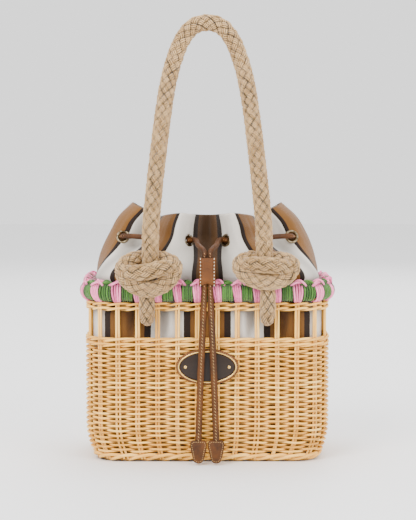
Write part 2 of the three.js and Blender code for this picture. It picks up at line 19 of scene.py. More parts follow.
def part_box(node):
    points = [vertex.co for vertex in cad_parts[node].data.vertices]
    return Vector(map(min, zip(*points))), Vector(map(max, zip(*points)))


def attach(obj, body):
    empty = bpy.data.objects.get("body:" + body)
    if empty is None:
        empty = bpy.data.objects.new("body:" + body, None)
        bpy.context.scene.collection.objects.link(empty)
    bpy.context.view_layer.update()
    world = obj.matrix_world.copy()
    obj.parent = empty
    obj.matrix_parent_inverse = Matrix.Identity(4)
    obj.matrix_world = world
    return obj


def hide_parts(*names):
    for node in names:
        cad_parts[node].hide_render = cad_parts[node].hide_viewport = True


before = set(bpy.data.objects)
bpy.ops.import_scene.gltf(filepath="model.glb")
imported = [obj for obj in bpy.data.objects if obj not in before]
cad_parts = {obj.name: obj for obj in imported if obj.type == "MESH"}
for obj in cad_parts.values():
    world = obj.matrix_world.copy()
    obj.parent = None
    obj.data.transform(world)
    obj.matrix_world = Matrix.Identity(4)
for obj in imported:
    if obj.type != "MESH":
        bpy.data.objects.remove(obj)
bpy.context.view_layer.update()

LOG = logging.getLogger("basket_bag")
BODY = "root"
MM = 0.001
FRONT = -1  # the bag's front is on the -Y side
TOUCH = 0.3 * MM  # gap between pieces that touch
PROUD = 0.05 * MM  # how far the middle of a stitch stands off flat leather

Array = np.ndarray
Piece = bpy.types.Object
Value = float | int | str | bool | tuple | Vector | object


# Sockets and trees

def math_method(operation: str, reflected: bool = False) -> "Callable[..., Socket]":
    """A method of Socket for one of Python's operators.

    Args:
        operation: The node's operation.
        reflected: True where the socket is on the right side.

    Returns:
        The method.
    """

    def method(self: "Socket", other: Value = None) -> "Socket":
        """Adds the node."""
        return self._work(operation, *((other, self) if reflected else (self, other)))

    return method


class Socket:
    """An output of a node, which Python's operators work on by adding Math nodes."""

    def __init__(self, graph: "Graph", socket: bpy.types.NodeSocket) -> None:
        """Wraps a node's output."""
        self.graph = graph
        self.socket = socket

    def other(self, name: str) -> "Socket":
        """Another output of the same node, by name."""
        return Socket(self.graph, self.socket.node.outputs[name])

    def _work(self, operation: str, first: Value, second: Value = None) -> "Socket":
        """Adds a Math node, or a Vector Math node where either side is a vector.

        Args:
            operation: The node's operation.
            first: The left side.
            second: The right side, if there is one.

        Returns:
            The result.
        """
        sides = [side for side in (first, second) if side is not None]
        kinds = [side.socket.type if isinstance(side, Socket) else type(side) for side in sides]
        vector = tuple in kinds or "VECTOR" in kinds
        kind = "ShaderNodeVectorMath" if vector else "ShaderNodeMath"
        if vector:
            sides = [(side,) * 3 if isinstance(side, (int, float)) else side for side in sides]
        return self.graph.add(kind, {"operation": operation}, dict(enumerate(sides)))

    __add__, __radd__ = math_method("ADD"), math_method("ADD", True)
    __sub__, __rsub__ = math_method("SUBTRACT"), math_method("SUBTRACT", True)
    __mul__, __rmul__ = math_method("MULTIPLY"), math_method("MULTIPLY", True)
    __truediv__, __rtruediv__ = math_method("DIVIDE"), math_method("DIVIDE", True)
    __pow__, __mod__ = math_method("POWER"), math_method("FLOORED_MODULO")
    __lt__, __gt__ = math_method("LESS_THAN"), math_method("GREATER_THAN")
    __abs__ = math_method("ABSOLUTE")

    def call(self, operation: str, other: Value = None) -> "Socket":
        """Any other operation of the Math node, such as SINE or MINIMUM."""
        return self._work(operation, self, other)

    def rise(self, low: float, high: float) -> "Socket":
        """0 below low, 1 above high and a smooth step between them."""
        settings = {"interpolation_type": "SMOOTHSTEP"}
        return self.graph.add("ShaderNodeMapRange", settings, {0: self, 1: low, 2: high})

    def blend(self, first: Value, second: Value) -> "Socket":
        """A mix of two colours: the first where self is 0 and the second where it is 1."""
        return self.graph.mix(self, first, second)


class Graph:
    """Adds nodes to a tree, one call for each node."""

    def __init__(self, tree: bpy.types.NodeTree) -> None:
        """Keeps the tree."""
        self.tree = tree

    def add(
        self,
        kind: str,
        settings: dict[str, Value] | None = None,
        values: dict[str | int, Value] | None = None,
        output: int = 0,
    ) -> Socket | None:
        """Adds a node, sets it up and links it.

        Args:
            kind: The node's type.
            settings: Its own properties, set first. stops sets a ramp's colours by place.
            values: Numbers, vectors or sockets for its inputs, by name or place.
            output: Which of its outputs is given back.

        Returns:
            The output, or None if the node has none.
        """
        node = self.tree.nodes.new(kind)
        for name, value in (settings or {}).items():
            if name == "stops":
                set_stops(node.color_ramp, value)
            else:
                setattr(node, name, value)
        for key, value in (values or {}).items():
            if isinstance(value, Socket):
                self.tree.links.new(value.socket, node.inputs[key])
            else:
                node.inputs[key].default_value = value
        return Socket(self, node.outputs[output]) if node.outputs else None

    def attribute(self, name: str) -> Socket:
        """A number that the mesh carries, read in a material."""
        return self.add("ShaderNodeAttribute", {"attribute_name": name}, output=2)

    def mix(self, share: Value, first: Value, second: Value) -> Socket:
        """A mix of two colours: the first at share 0 and the second at share 1."""
        return self.add("ShaderNodeMix", {"data_type": "RGBA"}, {0: share, 6: first, 7: second}, output=2)

    def vector(self, x: Value, y: Value, z: Value) -> Socket:
        """A vector of three numbers."""
        return self.add("ShaderNodeCombineXYZ", None, {"X": x, "Y": y, "Z": z})

    def noise(self, where: Socket, scale: float, detail: float = 2.0, rough: float = 0.5) -> Socket:
        """Soft noise from 0 to 1."""
        values = {"Vector": where, "Scale": scale, "Detail": detail, "Roughness": rough}
        return self.add("ShaderNodeTexNoise", None, values)

    def stretched(self, scale: tuple[float, float, float] = (1, 1, 1)) -> Socket:
        """Object coordinates, stretched along each axis."""
        place = self.add("ShaderNodeTexCoord", output=3)
        return self.add("ShaderNodeMapping", None, {"Vector": place, "Scale": scale})

    def bump(self, height: Socket, depth: float, strength: float = 1.0) -> Socket:
        """A normal that a height of 0 to 1 raises by depth metres."""
        return self.add("ShaderNodeBump", None, {"Height": height, "Distance": depth, "Strength": strength})


def set_stops(ramp: bpy.types.ColorRamp, stops: Sequence[tuple[float, tuple]]) -> None:
    """Gives a colour ramp its stops.

    Args:
        ramp: The ramp, which has two stops when it is new.
        stops: Places from 0 to 1 with their colours.
    """
    while len(ramp.elements) < len(stops):
        ramp.elements.new(1.0)
    for element, (place, shade) in zip(ramp.elements, stops):
        element.position = place
        element.color = shade


def colour(code: str) -> tuple[float, float, float, float]:
    """A linear colour from a web code such as d9a766."""
    parts = [int(code[i : i + 2], 16) / 255 for i in (0, 2, 4)]
    return (*(part / 12.92 if part <= 0.04045 else ((part + 0.055) / 1.055) ** 2.4 for part in parts), 1.0)


# Finishes

class Grain(Enum):
    """Which way the fibres of a piece run: how much noise is stretched along X, Y and Z."""

    LEVEL = (60.0, 60.0, 900.0)
    UPRIGHT = (900.0, 900.0, 60.0)


@dataclass(frozen=True)
class Finish:
    """What a surface is made of. Each kind of finish paints its own nodes."""

    name: str
    roughness: float = 0.6
    shine: float = 0.25

    def make(self) -> bpy.types.Material:
        """The material, made once and used again by name."""
        if self.name in bpy.data.materials:
            return bpy.data.materials[self.name]
        material = bpy.data.materials.new(self.name)
        material.use_nodes = True
        graph = Graph(material.node_tree)
        shader = next(node for node in material.node_tree.nodes if node.type == "BSDF_PRINCIPLED")
        shader.inputs["Roughness"].default_value = self.roughness
        shader.inputs["Specular IOR Level"].default_value = self.shine
        for name, value in self.paint(graph).items():
            if isinstance(value, Socket):
                graph.tree.links.new(value.socket, shader.inputs[name])
            else:
                shader.inputs[name].default_value = value
        return material

    def paint(self, graph: Graph) -> dict[str, Value]:
        """The shader's values and links."""
        raise NotImplementedError


@dataclass(frozen=True)
class Wicker(Finish):
    """Peeled willow rods: golden, streaked along the fibres, with painted shade where one goes behind
    another.
    """

    grain: Grain = Grain.LEVEL
    light: str = "ffd67a"
    middle: str = "f7bb58"
    dark: str = "c88d36"
    # shade is the colour of the painted shade where a rod goes behind another
    shade: str = "583210"

    def paint(self, graph: Graph) -> dict[str, Value]:
        """The shader's values and links."""
        streaks = graph.noise(graph.stretched(self.grain.value), 1.0, 3.0)
        patches = graph.noise(graph.stretched(), 34.0, 2.0)
        mixed = streaks * 0.5 + graph.attribute("tint") * 0.34 + patches * 0.3 - 0.12
        stops = [(0.24, colour(self.dark)), (0.5, colour(self.middle)), (0.72, colour(self.light))]
        golden = graph.add("ShaderNodeValToRGB", {"stops": stops}, {0: mixed})
        # painted shade: deep darkens a rod towards the shade colour where it goes behind another
        behind = graph.attribute("deep").rise(0.35, 1.0) * 0.72
        bumps = graph.bump(streaks, 0.25 * MM, 0.5)
        return {
            "Base Color": behind.blend(golden, colour(self.shade)),
            "Roughness": 0.42 + streaks * 0.2,
            "Normal": bumps,
            "Coat Weight": 0.05,
        }


@dataclass(frozen=True)
class Raffia(Finish):
    """Twisted raffia cords, green or pink by the cord."""

    green: str = "4b7a2b"
    green_dark: str = "234812"
    pink: str = "ff8fb8"
    pink_dark: str = "d05588"

    def paint(self, graph: Graph) -> dict[str, Value]:
        """The shader's values and links."""
        fibres = graph.noise(graph.stretched((700.0, 700.0, 160.0)), 1.0, 2.0)
        mixed = (fibres * 0.6 + graph.attribute("tint") * 0.5).rise(0.25, 0.85)
        green = mixed.blend(colour(self.green_dark), colour(self.green))
        pink = mixed.blend(colour(self.pink_dark), colour(self.pink))
        body = graph.attribute("tone").blend(green, pink)
        # painted shade: deep darkens the cords towards near black in the gaps between them and under the
        # knots
        behind = graph.attribute("deep").rise(0.3, 1.0) * 0.8
        return {
            "Base Color": behind.blend(body, graph.mix(0.75, body, colour("1a1a1a"))),
            "Roughness": 0.5 + fibres * 0.25,
            "Normal": graph.bump(fibres, 0.3 * MM, 0.6),
            "Sheen Weight": 0.2,
        }


@dataclass(frozen=True)
class RopeYarn(Finish):
    """Beige cotton yarn, with painted shade where it goes under other yarns."""

    light: str = "c4a06f"
    middle: str = "987444"
    # shade is the colour of the painted shade between the yarns
    shade: str = "1e1408"

    def paint(self, graph: Graph) -> dict[str, Value]:
        """The shader's values and links."""
        fuzz = graph.noise(graph.stretched(), 900.0, 3.0)
        patches = graph.noise(graph.stretched(), 60.0, 2.0)
        mixed = fuzz * 0.4 + graph.attribute("tint") * 0.35 + patches * 0.35
        body = mixed.rise(0.25, 0.8).blend(colour(self.middle), colour(self.light))
        # painted shade: deep darkens a yarn where it dives under the other strands and in the grooves between
        # them
        behind = graph.attribute("deep").rise(0.12, 1.0) * 0.9
        return {
            "Base Color": behind.blend(body, colour(self.shade)),
            "Roughness": 0.8 + fuzz * 0.15,
            "Normal": graph.bump(fuzz, 0.3 * MM, 0.6),
            "Sheen Weight": 0.3,
        }


@dataclass(frozen=True)
class StripedCanvas(Finish):
    """Plain-woven cotton with stripes that run up the cloth, alike on both sides of the middle."""

    period: float = 80.7 * MM
    tan_half: float = 17 * MM
    line: float = 6.7 * MM
    tan: str = "70491b"
    line_shade: str = "1d110a"
    white: str = "e2dbd0"
    thread: float = 0.55 * MM

    def paint(self, graph: Graph) -> dict[str, Value]:
        """The shader's values and links."""
        place = graph.add("ShaderNodeUVMap", {"uv_map": "cloth"})
        across = graph.add("ShaderNodeSeparateXYZ", None, {0: place})
        along, up = across, across.other("Y")
        wobble = (graph.noise(place, 300.0, 1.0) - 0.5) * 0.5 * MM
        share = (abs(along) + wobble) % self.period
        half = self.period / 2
        folded = half - abs(share - half)
        edge = 0.25 * MM
        in_line = folded.rise(self.tan_half - edge, self.tan_half + edge)
        end = self.tan_half + self.line
        past_line = folded.rise(end - edge, end + edge)
        lined = in_line.blend(colour(self.tan), colour(self.line_shade))
        body = past_line.blend(lined, colour(self.white))
        warp = (along * (math.tau / self.thread)).call("SINE")
        weft = (up * (math.tau / self.thread)).call("SINE")
        weave = warp * weft * 0.5 + 0.5
        drawn_out = graph.add("ShaderNodeMapping", None, {"Vector": place, "Scale": (900, 70, 1)})
        slub = graph.noise(drawn_out, 1.0, 2.0)
        soil = graph.noise(graph.stretched(), 22.0, 3.0)
        shading = (weave * 0.12 + slub * 0.16 + soil * 0.14 - 0.12).call("MAXIMUM", 0.0)
        drawn = shading.blend(body, graph.mix(0.55, body, colour("3a2a1c")))
        # painted shade: deep darkens the cloth towards near black in the folds' valleys, behind the close
        # weave, under the rim and on its inner side
        with_painted_shade = graph.attribute("deep").blend(drawn, colour("1a0f07"))
        return {
            "Base Color": with_painted_shade,
            "Roughness": 0.78 + slub * 0.18,
            "Normal": graph.bump(weave * 0.6 + slub * 0.4, 0.25 * MM, 0.5),
            "Sheen Weight": 0.15,
        }


@dataclass(frozen=True)
class Leather(Finish):
    """Smooth leather with a fine grain, darker where it has been handled."""

    body: str = "4a2807"
    dark: str = "2b1603"
    light: str = "63380d"

    def paint(self, graph: Graph) -> dict[str, Value]:
        """The shader's values and links."""
        place = graph.stretched()
        cells = {"Vector": place, "Scale": 1500.0}
        pores = graph.add("ShaderNodeTexVoronoi", {"feature": "DISTANCE_TO_EDGE"}, cells)
        wrinkles = graph.noise(place, 420.0, 4.0, 0.6)
        patches = graph.noise(place, 70.0, 3.0)
        mixed = patches * 0.6 + wrinkles * 0.4
        stops = [(0.3, colour(self.dark)), (0.52, colour(self.body)), (0.75, colour(self.light))]
        grain = pores.rise(0.0, 0.18)
        return {
            "Base Color": graph.add("ShaderNodeValToRGB", {"stops": stops}, {0: mixed}),
            "Roughness": 0.46 + wrinkles * 0.25,
            "Normal": graph.bump(grain * 0.35 + wrinkles * 0.65, 0.18 * MM, 0.55),
            "Coat Weight": 0.03,
        }


@dataclass(frozen=True)
class Metal(Finish):
    """Plated metal with tarnish and fine scratches."""

    bright: str = "c9c2b2"
    tarnish: str = "6b5f4c"
    worn: float = 0.5

    def paint(self, graph: Graph) -> dict[str, Value]:
        """The shader's values and links."""
        place = graph.stretched()
        spots = graph.noise(place, 260.0, 4.0, 0.65)
        scratches = graph.noise(graph.stretched((90, 90, 2400)), 1.0, 2.0)
        dull = spots.rise(1 - self.worn - 0.12, 1 - self.worn + 0.22)
        return {
            "Base Color": dull.blend(colour(self.bright), colour(self.tarnish)),
            "Metallic": 1.0,
            "Roughness": self.roughness + dull * 0.2 + scratches * 0.1,
            "Normal": graph.bump(scratches * 0.5 + spots * 0.5, 0.06 * MM, 0.4),
        }


@dataclass(frozen=True)
class Enamel(Finish):
    """Dark fired enamel with a slight orange peel."""

    body: str = "1c1008"
    light: str = "26180d"

    def paint(self, graph: Graph) -> dict[str, Value]:
        """The shader's values and links."""
        peel = graph.noise(graph.stretched(), 500.0, 2.0)
        return {
            "Base Color": peel.blend(colour(self.body), colour(self.light)),
            "Roughness": 0.32 + peel * 0.1,
            "Normal": graph.bump(peel, 0.03 * MM, 0.4),
            "Coat Weight": 0.05,
        }


@dataclass(frozen=True)
class Thread(Finish):
    """Waxed sewing thread."""

    body: str = "c9a874"
    dark: str = "94703f"

    def paint(self, graph: Graph) -> dict[str, Value]:
        """The shader's values and links."""
        twist = graph.noise(graph.stretched(), 1800.0, 2.0)
        return {
            "Base Color": twist.blend(colour(self.dark), colour(self.body)),
            "Roughness": 0.55 + twist * 0.2,
            "Normal": graph.bump(twist, 0.1 * MM, 0.5),
        }


WOVEN = Wicker("wicker_level")
STAKED = Wicker("wicker_upright", grain=Grain.UPRIGHT, light="ffda84", middle="f4bb5a")
RAFFIA = Raffia("raffia_cords")
ROPE = RopeYarn("rope_yarn")
CANVAS = StripedCanvas("striped_canvas")
BROWN_LEATHER = Leather("leather_brown_smooth")
TAN_LEATHER = Leather("leather_tan_smooth", body="5d330c", dark="452406", light="6e3f15")
EYELET_METAL = Metal("eyelet_antique", roughness=0.32, bright="96866a", tarnish="43341f")
BRONZE = Metal("eyelet_bronze", roughness=0.5, bright="4b3620", tarnish="241809")
BRASS = Metal("brass_polished", roughness=0.2, bright="d8b169", tarnish="8d6a35", worn=0.35)
ENAMEL = Enamel("enamel_dark")
CREAM_THREAD = Thread("thread_cream")
WHITE_THREAD = Thread("thread_white", body="fbf3e2", dark="d8c9aa")
BROWN_THREAD = Thread("thread_brown", body="b98a5c", dark="8a5c34")
PATCH_LEATHER = Leather("leather_patch", body="5a3217", dark="391c0b", light="734421")


# Lines that rods, cords and stitches follow

@dataclass
class Line:
    """The way of one rod, cord or row of stitches, and what changes along it."""

    way: Array
    thick: float | Array = 1.0
    closed: bool = False
    tint: float = 0.5
    # deep is how much painted shade a point gets, from none at 0 to full at 1
    deep: float | Array = 0.0
    tone: float = 0.0
    facing: tuple[float, float, float] | Array = (0.0, -1.0, 0.0)

    def column(self, name: str) -> Array:
        """One of its values at each of its points."""
        value = np.asarray(getattr(self, name), dtype=float)
        width = (3,) if name == "facing" else ()
        return np.broadcast_to(value, (len(self.way), *width))


def guide(name: str, lines: Sequence[Line]) -> bpy.types.Mesh:
    """A mesh of bare edges with the lines' values on its points.

    Args:
        name: The mesh's name.
        lines: The lines.

    Returns:
        The mesh.
    """
    starts = np.cumsum([0] + [len(line.way) for line in lines])
    edges = []
    for start, line in zip(starts, lines):
        steps = np.arange(start, start + len(line.way))
        ahead = np.roll(steps, -1)
        pairs = np.stack([steps, ahead], axis=1)
        edges.append(pairs if line.closed else pairs[:-1])
    mesh = bpy.data.meshes.new(name)
    mesh.from_pydata(np.concatenate([line.way for line in lines]), np.concatenate(edges), [])
    for key in ("thick", "tint", "deep", "tone"):
        layer = mesh.attributes.new(key, "FLOAT", "POINT")
        layer.data.foreach_set("value", np.concatenate([line.column(key) for line in lines]))
    layer = mesh.attributes.new("facing", "FLOAT_VECTOR", "POINT")
    layer.data.foreach_set("vector", np.concatenate([line.column("facing") for line in lines]).ravel())
    return mesh


def between(first: Array, last: Array, leave: Array, reach: Array, share: Array) -> Array:
    """A smooth way from one value to the next.

    Args:
        first: The first value.
        last: The last value.
        leave: The slope where it leaves the first.
        reach: The slope where it reaches the last.
        share: The share of the way.

    Returns:
        The value there.
    """
    bend = (3 * (last - first) - 2 * leave - reach) * share**2
    return first + leave * share + bend + (2 * (first - last) + leave + reach) * share**3


def smooth_way(
    points: Array, step: float, closed: bool = False, extra: Array | None = None
) -> tuple[Array, Array]:
    """A smooth curve through points, as even steps.

    Args:
        points: The points that it passes.
        step: How long a step is at most.
        closed: True where the last point leads to the first.
        extra: Values at the points, which go with them.

    Returns:
        The steps and the values at each of them.
    """
    count = len(points)
    values = np.asarray(extra if extra is not None else np.zeros(count), dtype=float).reshape(count, -1)
    rows = np.hstack([np.asarray(points, dtype=float), values])
    if closed:
        rows = np.vstack([rows[-1:], rows, rows[:2]])
    else:
        rows = np.vstack([2 * rows[:1] - rows[1:2], rows, 2 * rows[-1:] - rows[-2:-1]])
    fine = np.linspace(0, 1, 24, endpoint=False)[:, None]
    parts = []
    for p0, p1, p2, p3 in zip(rows, rows[1:], rows[2:], rows[3:]):
        pairs = ((p0, p1), (p1, p2), (p2, p3))
        d0, d1, d2 = (math.sqrt(np.linalg.norm((b - a)[:3])) or 1e-6 for a, b in pairs)
        leave = ((p1 - p0) / d0 - (p2 - p0) / (d0 + d1) + (p2 - p1) / d1) * d1
        reach = ((p2 - p1) / d1 - (p3 - p1) / (d1 + d2) + (p3 - p2) / d2) * d1
        parts.append(between(p1, p2, leave, reach, fine))
    curve = np.vstack([*parts, rows[1:2] if closed else rows[-2:-1]])
    length = np.concatenate([[0], np.cumsum(np.linalg.norm(np.diff(curve[:, :3], axis=0), axis=1))])
    steps = max(2, round(length[-1] / step))
    at = np.linspace(0, length[-1], steps + 1)
    even = np.stack([np.interp(at, length, column) for column in curve.T], axis=1)
    return even[:, :3], even[:, 3:]


def frames_along(way: Array, closed: bool = False) -> tuple[Array, Array]:
    """Two directions across a line at each of its points, turning as little as they can.

    Args:
        way: The line's points.
        closed: True where the last point is the first again.

    Returns:
        The two directions.
    """
    along = np.gradient(way, axis=0)
    if closed:
        along[0] = along[-1] = way[1] - way[-2]
    along /= np.linalg.norm(along, axis=1)[:, None]
    across = np.zeros_like(way)
    start = np.cross(along[0], (0.0, 0.0, 1.0))
    across[0] = start / np.linalg.norm(start) if np.linalg.norm(start) > 0.1 else (1.0, 0.0, 0.0)
    for i in range(1, len(way)):
        bent = across[i - 1] - along[i] * np.dot(across[i - 1], along[i])
        across[i] = bent / np.linalg.norm(bent)
    upwards = np.cross(along, across)
    if closed:
        left = math.atan2(np.dot(across[0], upwards[-1]), np.dot(across[0], across[-1]))
        angles = np.linspace(0, left, len(way))[:, None]
        across, upwards = (
            across * np.cos(angles) + upwards * np.sin(angles),
            upwards * np.cos(angles) - across * np.sin(angles),
        )
    return across, upwards


# Geometry Nodes trees

def new_object(name: str, data: bpy.types.ID) -> Piece:
    """A new object in the scene."""
    made = bpy.data.objects.new(name, data)
    bpy.context.scene.collection.objects.link(made)
    return made


class Tree:
    """A Geometry Nodes tree with named inputs, which grows a plain mesh from a guide."""

    def __init__(self, name: str, inputs: dict[str, int | float | None]) -> None:
        """Makes the tree with its inputs, ready for its nodes.

        Args:
            name: The tree's name.
            inputs: Each input's first value, None for a material.
        """
        self.tree = bpy.data.node_groups.new(name, "GeometryNodeTree")
        self.graph = Graph(self.tree)
        face = self.tree.interface
        face.new_socket("Geometry", in_out="INPUT", socket_type="NodeSocketGeometry")
        for label, value in inputs.items():
            kind = {int: "Int", float: "Float"}.get(type(value), "Material")
            item = face.new_socket(label, in_out="INPUT", socket_type=f"NodeSocket{kind}")
            if value is not None:
                item.default_value = value
        face.new_socket("Geometry", in_out="OUTPUT", socket_type="NodeSocketGeometry")
        self.start = self.graph.add("NodeGroupInput")

    def input(self, label: str) -> Socket:
        """One of the tree's inputs."""
        return self.start.other(label)

    def carried(self, name: str, kind: str = "FLOAT") -> Socket:
        """A value that the guide carries."""
        return self.graph.add("GeometryNodeInputNamedAttribute", {"data_type": kind}, {"Name": name})

    def store(self, geometry: Socket, name: str, value: Value) -> Socket:
        """The geometry with one more value on its points."""
        settings = {"data_type": "FLOAT", "domain": "POINT"}
        return self.graph.add(
            "GeometryNodeStoreNamedAttribute", settings, {"Geometry": geometry, "Name": name, "Value": value}
        )

    def circle(self, sides: Value, radius: Value = 0.5) -> Socket:
        """A round curve."""
        values = {"Resolution": sides, "Radius": radius}
        return self.graph.add("GeometryNodeCurvePrimitiveCircle", None, values)

    def end(self, geometry: Socket) -> None:
        """Realizes the geometry, gives it its material and ends the tree.

        Args:
            geometry: What the tree has made.
        """
        shaded = self.graph.add("GeometryNodeSetShadeSmooth", None, {"Geometry": geometry})
        real = self.graph.add("GeometryNodeRealizeInstances", None, {"Geometry": shaded})
        values = {"Geometry": real, "Material": self.input("Material")}
        dressed = self.graph.add("GeometryNodeSetMaterial", None, values)
        self.graph.add("NodeGroupOutput", None, {0: dressed})

    def grow(self, name: str, lines: Sequence[Line], finish: Finish, **sizes: float) -> Piece:
        """Runs the tree on a guide.

        Args:
            name: The piece's name.
            lines: The guide's lines.
            finish: The piece's finish.
            sizes: The tree's inputs for this piece, such as hole_radius for Hole Radius.

        Returns:
            The piece, as a plain mesh.
        """
        values = {key.replace("_", " ").title(): value for key, value in sizes.items()}
        values["Material"] = finish.make()
        holder = new_object(f"{name}_guide", guide(name, lines) if lines else bpy.data.meshes.new(name))
        modifier = holder.modifiers.new("grow", "NODES")
        modifier.node_group = self.tree
        for item in self.tree.interface.items_tree:
            if item.in_out == "INPUT" and item.name in values:
                modifier[item.identifier] = values[item.name]
        evaluated = holder.evaluated_get(bpy.context.evaluated_depsgraph_get())
        grown = bpy.data.meshes.new_from_object(evaluated)
        grown.name = name
        bpy.data.objects.remove(holder)
        return new_object(name, grown)


class RodTree(Tree):
    """Round rods, cords or yarns along a guide's lines."""

    def __init__(self) -> None:
        """Makes the tree."""
        super().__init__("rods_along_lines", {"Sides": 6, "Material": None})
        graph, given = self.graph, self.input
        curves = graph.add("GeometryNodeMeshToCurve", None, {0: given("Geometry")})
        ring = self.circle(given("Sides"))
        values = {"Curve": curves, "Profile Curve": ring, "Scale": self.carried("thick"), "Fill Caps": True}
        self.end(graph.add("GeometryNodeCurveToMesh", None, values))


class WeaveTree(Tree):
    """Rows of plain weave round the basket, in front of one stake pair and behind the next."""

    def __init__(self) -> None:
        """Makes the tree."""
        super().__init__("plain_weave", {
            "Rows": 44, "Stake Pairs": 36, "Steps per Pair": 6, "Sides": 6,
            "Bottom": 10.3 * MM, "Row Pitch": 2.5 * MM, "Rod Height": 3.1 * MM, "Rod Depth": 2.4 * MM,
            "Relief": 2.5 * MM, "Half Width": 127 * MM, "Half Depth": 79 * MM, "Corner Radius": 39 * MM,
            "Middle Line": -3.8 * MM, "Foot Inset": 11 * MM, "Rounding Height": 40 * MM,
            "Unevenness": 0.5 * MM, "Seed": 7, "Material": None,
        })
        graph, given = self.graph, self.input
        around = given("Stake Pairs") * given("Steps per Pair")
        ring = graph.add("GeometryNodeMeshCircle", None, {"Vertices": around})
        column = graph.add("GeometryNodeMeshLine", None, {"Count": given("Rows")})
        rows = graph.add("GeometryNodeInstanceOnPoints", None, {"Points": column, "Instance": ring})
        rings = graph.add("GeometryNodeRealizeInstances", None, {"Geometry": rows})
        index = graph.add("GeometryNodeInputIndex")
        row = (index / around + 0.0001).call("FLOOR")
        turn = (index % around) / around
        wave = ((turn * given("Stake Pairs") - 0.5 + row) * math.pi).call("COSINE")
        flat_wave = (wave * (math.pi / 2)).call("SINE")
        uneven = self._wander(turn, row)
        level = given("Bottom") + (row + 0.5) * given("Row Pitch")
        height = level + uneven * given("Unevenness")
        share = (height / given("Rounding Height")).call("MINIMUM", 1.0)
        inset = given("Foot Inset") * (1 - share) ** 2
        offset = given("Middle Line") - inset + flat_wave * given("Relief")
        place = self._outline(offset, turn, height)
        moved = graph.add("GeometryNodeSetPosition", None, {"Geometry": rings, "Position": place})
        # painted shade where a row goes behind a stake pair
        shaded = self.store(moved, "deep", 0.5 - flat_wave * 0.5)
        draw = {"ID": row, "Seed": given("Seed"), 2: 0.0, 3: 1.0}
        tint = graph.add("FunctionNodeRandomValue", {"data_type": "FLOAT"}, draw, output=1)
        tinted = self.store(shaded, "tint", tint)
        curves = graph.add("GeometryNodeMeshToCurve", None, {0: tinted})
        upright = graph.add("GeometryNodeSetCurveNormal", {"mode": "Z_UP"}, {"Curve": curves})
        circle = self.circle(given("Sides"))
        oval = graph.vector(given("Rod Height"), given("Rod Depth"), 1.0)
        profile = graph.add("GeometryNodeTransform", None, {"Geometry": circle, "Scale": oval})
        self.end(graph.add("GeometryNodeCurveToMesh", None, {"Curve": upright, "Profile Curve": profile}))

    def _wander(self, turn: Socket, row: Socket) -> Socket:
        """How far a row strays from its height, from about -1 to 1."""
        angle = turn * math.tau
        where = self.graph.vector(
            angle.call("COSINE") * 9, angle.call("SINE") * 9, row * 7.3 + self.input("Seed")
        )
        return (self.graph.noise(where, 1.0, 1.0) - 0.5) * 3

    def _outline(self, offset: Socket, turn: Socket, height: Socket) -> Socket:
        """A point on the basket's rounded outline, moved outwards.

        Args:
            offset: How far outwards.
            turn: The share of the way round from the middle of the front.
            height: How high it is.

        Returns:
            The point.
        """
        radius = self.input("Corner Radius") + offset
        straight_x = self.input("Half Width") - self.input("Corner Radius")
        straight_y = self.input("Half Depth") - self.input("Corner Radius")
        arc = radius * (math.pi / 2)
        share = 1 - abs((turn * 4) % 2 - 1)
        way = share * (straight_x + arc + straight_y)
        angle = ((way - straight_x) / arc).call("MAXIMUM", 0.0).call("MINIMUM", 1.0) * (math.pi / 2)
        beside = way.call("MINIMUM", straight_x) + radius * angle.call("SINE")
        after = (way - straight_x - arc).call("MAXIMUM", 0.0)
        out = straight_y + radius * angle.call("COSINE") - after
        side = (turn < 0.5) * 2 - 1
        face = (abs(turn - 0.5) > 0.25) * 2 - 1
        return self.graph.vector(beside * side, out * face * FRONT, height)


class StitchTree(Tree):
    """Stitches at an even pitch along a guide's lines, each turned to the line by a slant."""

    def __init__(self) -> None:
        """Makes the tree."""
        super().__init__("stitches_along_lines", {
            "Pitch": 2.1 * MM, "Length": 1.4 * MM, "Thickness": 0.6 * MM, "Slant": 0.0, "Material": None,
        })
        graph, given = self.graph, self.input
        curves = graph.add("GeometryNodeMeshToCurve", None, {0: given("Geometry")})
        spread = {"Curve": curves, "Length": given("Pitch")}
        points = graph.add("GeometryNodeCurveToPoints", {"mode": "LENGTH"}, spread)
        facing = self.carried("facing", "FLOAT_VECTOR")
        along = points.other("Tangent")
        beside = facing.call("CROSS_PRODUCT", along)
        slant = given("Slant")
        share_along, share_beside = slant.call("COSINE"), slant.call("SINE")
        lying = along * graph.vector(*[share_along] * 3) + beside * graph.vector(*[share_beside] * 3)
        axes = {"primary_axis": "Z", "secondary_axis": "X"}
        turned = graph.add("FunctionNodeAxesToRotation", axes, {0: facing, 1: lying})
        size = graph.vector(given("Length"), given("Thickness"), given("Thickness"))
        bead = graph.add("GeometryNodeMeshIcoSphere", None, {"Radius": 0.5, "Subdivisions": 2})
        laid = {"Points": points, "Instance": bead, "Rotation": turned, "Scale": size}
        self.end(graph.add("GeometryNodeInstanceOnPoints", None, laid))


